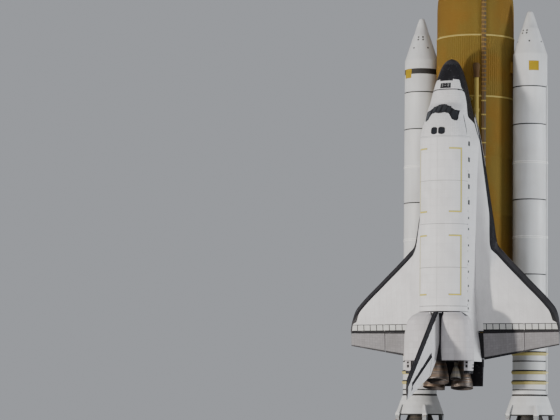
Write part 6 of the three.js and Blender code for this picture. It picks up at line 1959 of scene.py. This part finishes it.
ELEVONS = [
    # name, start and end along the hinge
    ("inboard", SEAT, SPLIT_ALONG - 0.5), ("outboard", SPLIT_ALONG + RIB + SEAT, HINGE_LENGTH - 2),
]
ELEVON_SHARES = (0.05, 0.12, 0.3, 0.5, 0.7, 0.91, 0.97)
for side, sign in SIDES:
    for name, start, end in ELEVONS:
        along = np.linspace(start, end, 40)
        y0 = ELEVON_START + along * HINGE_COS
        chord = 1525.3 - 0.1773 * y0 - HINGE_STATION
        grid = control_surface(elevon_place(sign), along, hinge_radius(y0), chord, ELEVON_SHARES)
        numbers = np.full((39, grid.shape[1]), 1)
        numbers[:, 2:7] = 0
        surface = closed(grid, numbers)
        dress(f"elevon_{name}_tiles_{side}", [surface], [ELEVON_GREY, BLACK_TILE],
              f"elevon_{name}_{side}", [f"elevon_{name}_{side}"])

# Wheel doors: panels of the lower skin over the nose wheel's and main wheels' wells. They are
# aluminium under black tiles, and each hangs on a hinge along one long edge.
DOOR_THICK, HINGE_REBATE, REBATE_END = 2.0, 1.0, 1.4


def belly_height(x0, y0):
    """The belly's height at a place off the middle: flat, then a quarter ellipse."""
    wide, bottom, shoulder, _, share_wide, share_high = curves(BODY_ROWS, x0)
    inside = np.clip(1 - (wide - np.abs(y0)) / (share_wide * wide), 0, 1)
    return bottom + share_high * (shoulder - bottom) * (1 - np.sqrt(1 - inside**2))


def leaf(x0, y0, sign, height, hinge):
    """A closed panel: the skin's height over a grid, and the same raised by the thickness. y0 runs
    from the hinged edge to the free one. The hinged edge is rebated up to the hinge's line, whose
    heights at the door's ends are given, so that it clears the skin beside it as it opens."""
    line = np.linspace(*hinge, len(x0))[:, None]
    towards = np.sign(y0[1] - y0[0])
    y0 = np.insert(y0, 1, y0[0] + towards * np.array([HINGE_REBATE, REBATE_END]))[None, :]
    x0, y0 = x0[:, None], sign * y0
    z0 = height(x0, y0)
    low_z0 = z0.copy()
    low_z0[:, :2] = np.maximum(z0[:, :2], line)
    low, high = orbiter_point(x0, y0, low_z0), orbiter_point(x0, y0, z0 + DOOR_THICK)
    return closed(np.concatenate([low, high[:, ::-1]], axis=1))


for side, sign in SIDES:
    nose_leaf = leaf(
        np.linspace(284.7, 374, 40), np.linspace(24.476, 0.45, 12), sign, belly_height, (303.47, 287.65),
    )
    dress(f"nose_door_tiles_{side}", [nose_leaf], [BLACK_TILE],
          f"nose_wheel_door_{side}", [f"nose_wheel_door_{side}"])
    main_leaf = leaf(
        np.linspace(DOOR_FRONT, DOOR_REAR, 40), np.linspace(DOOR_INNER, DOOR_OUTER, 20), sign,
        lambda x0, y0: wing_heights(np.abs(y0), x0)[0], (274.6, 273.1),
    )
    dress(f"main_door_tiles_{side}", [main_leaf], [BLACK_TILE],
          f"main_wheel_door_{side}", [f"main_wheel_door_{side}"])
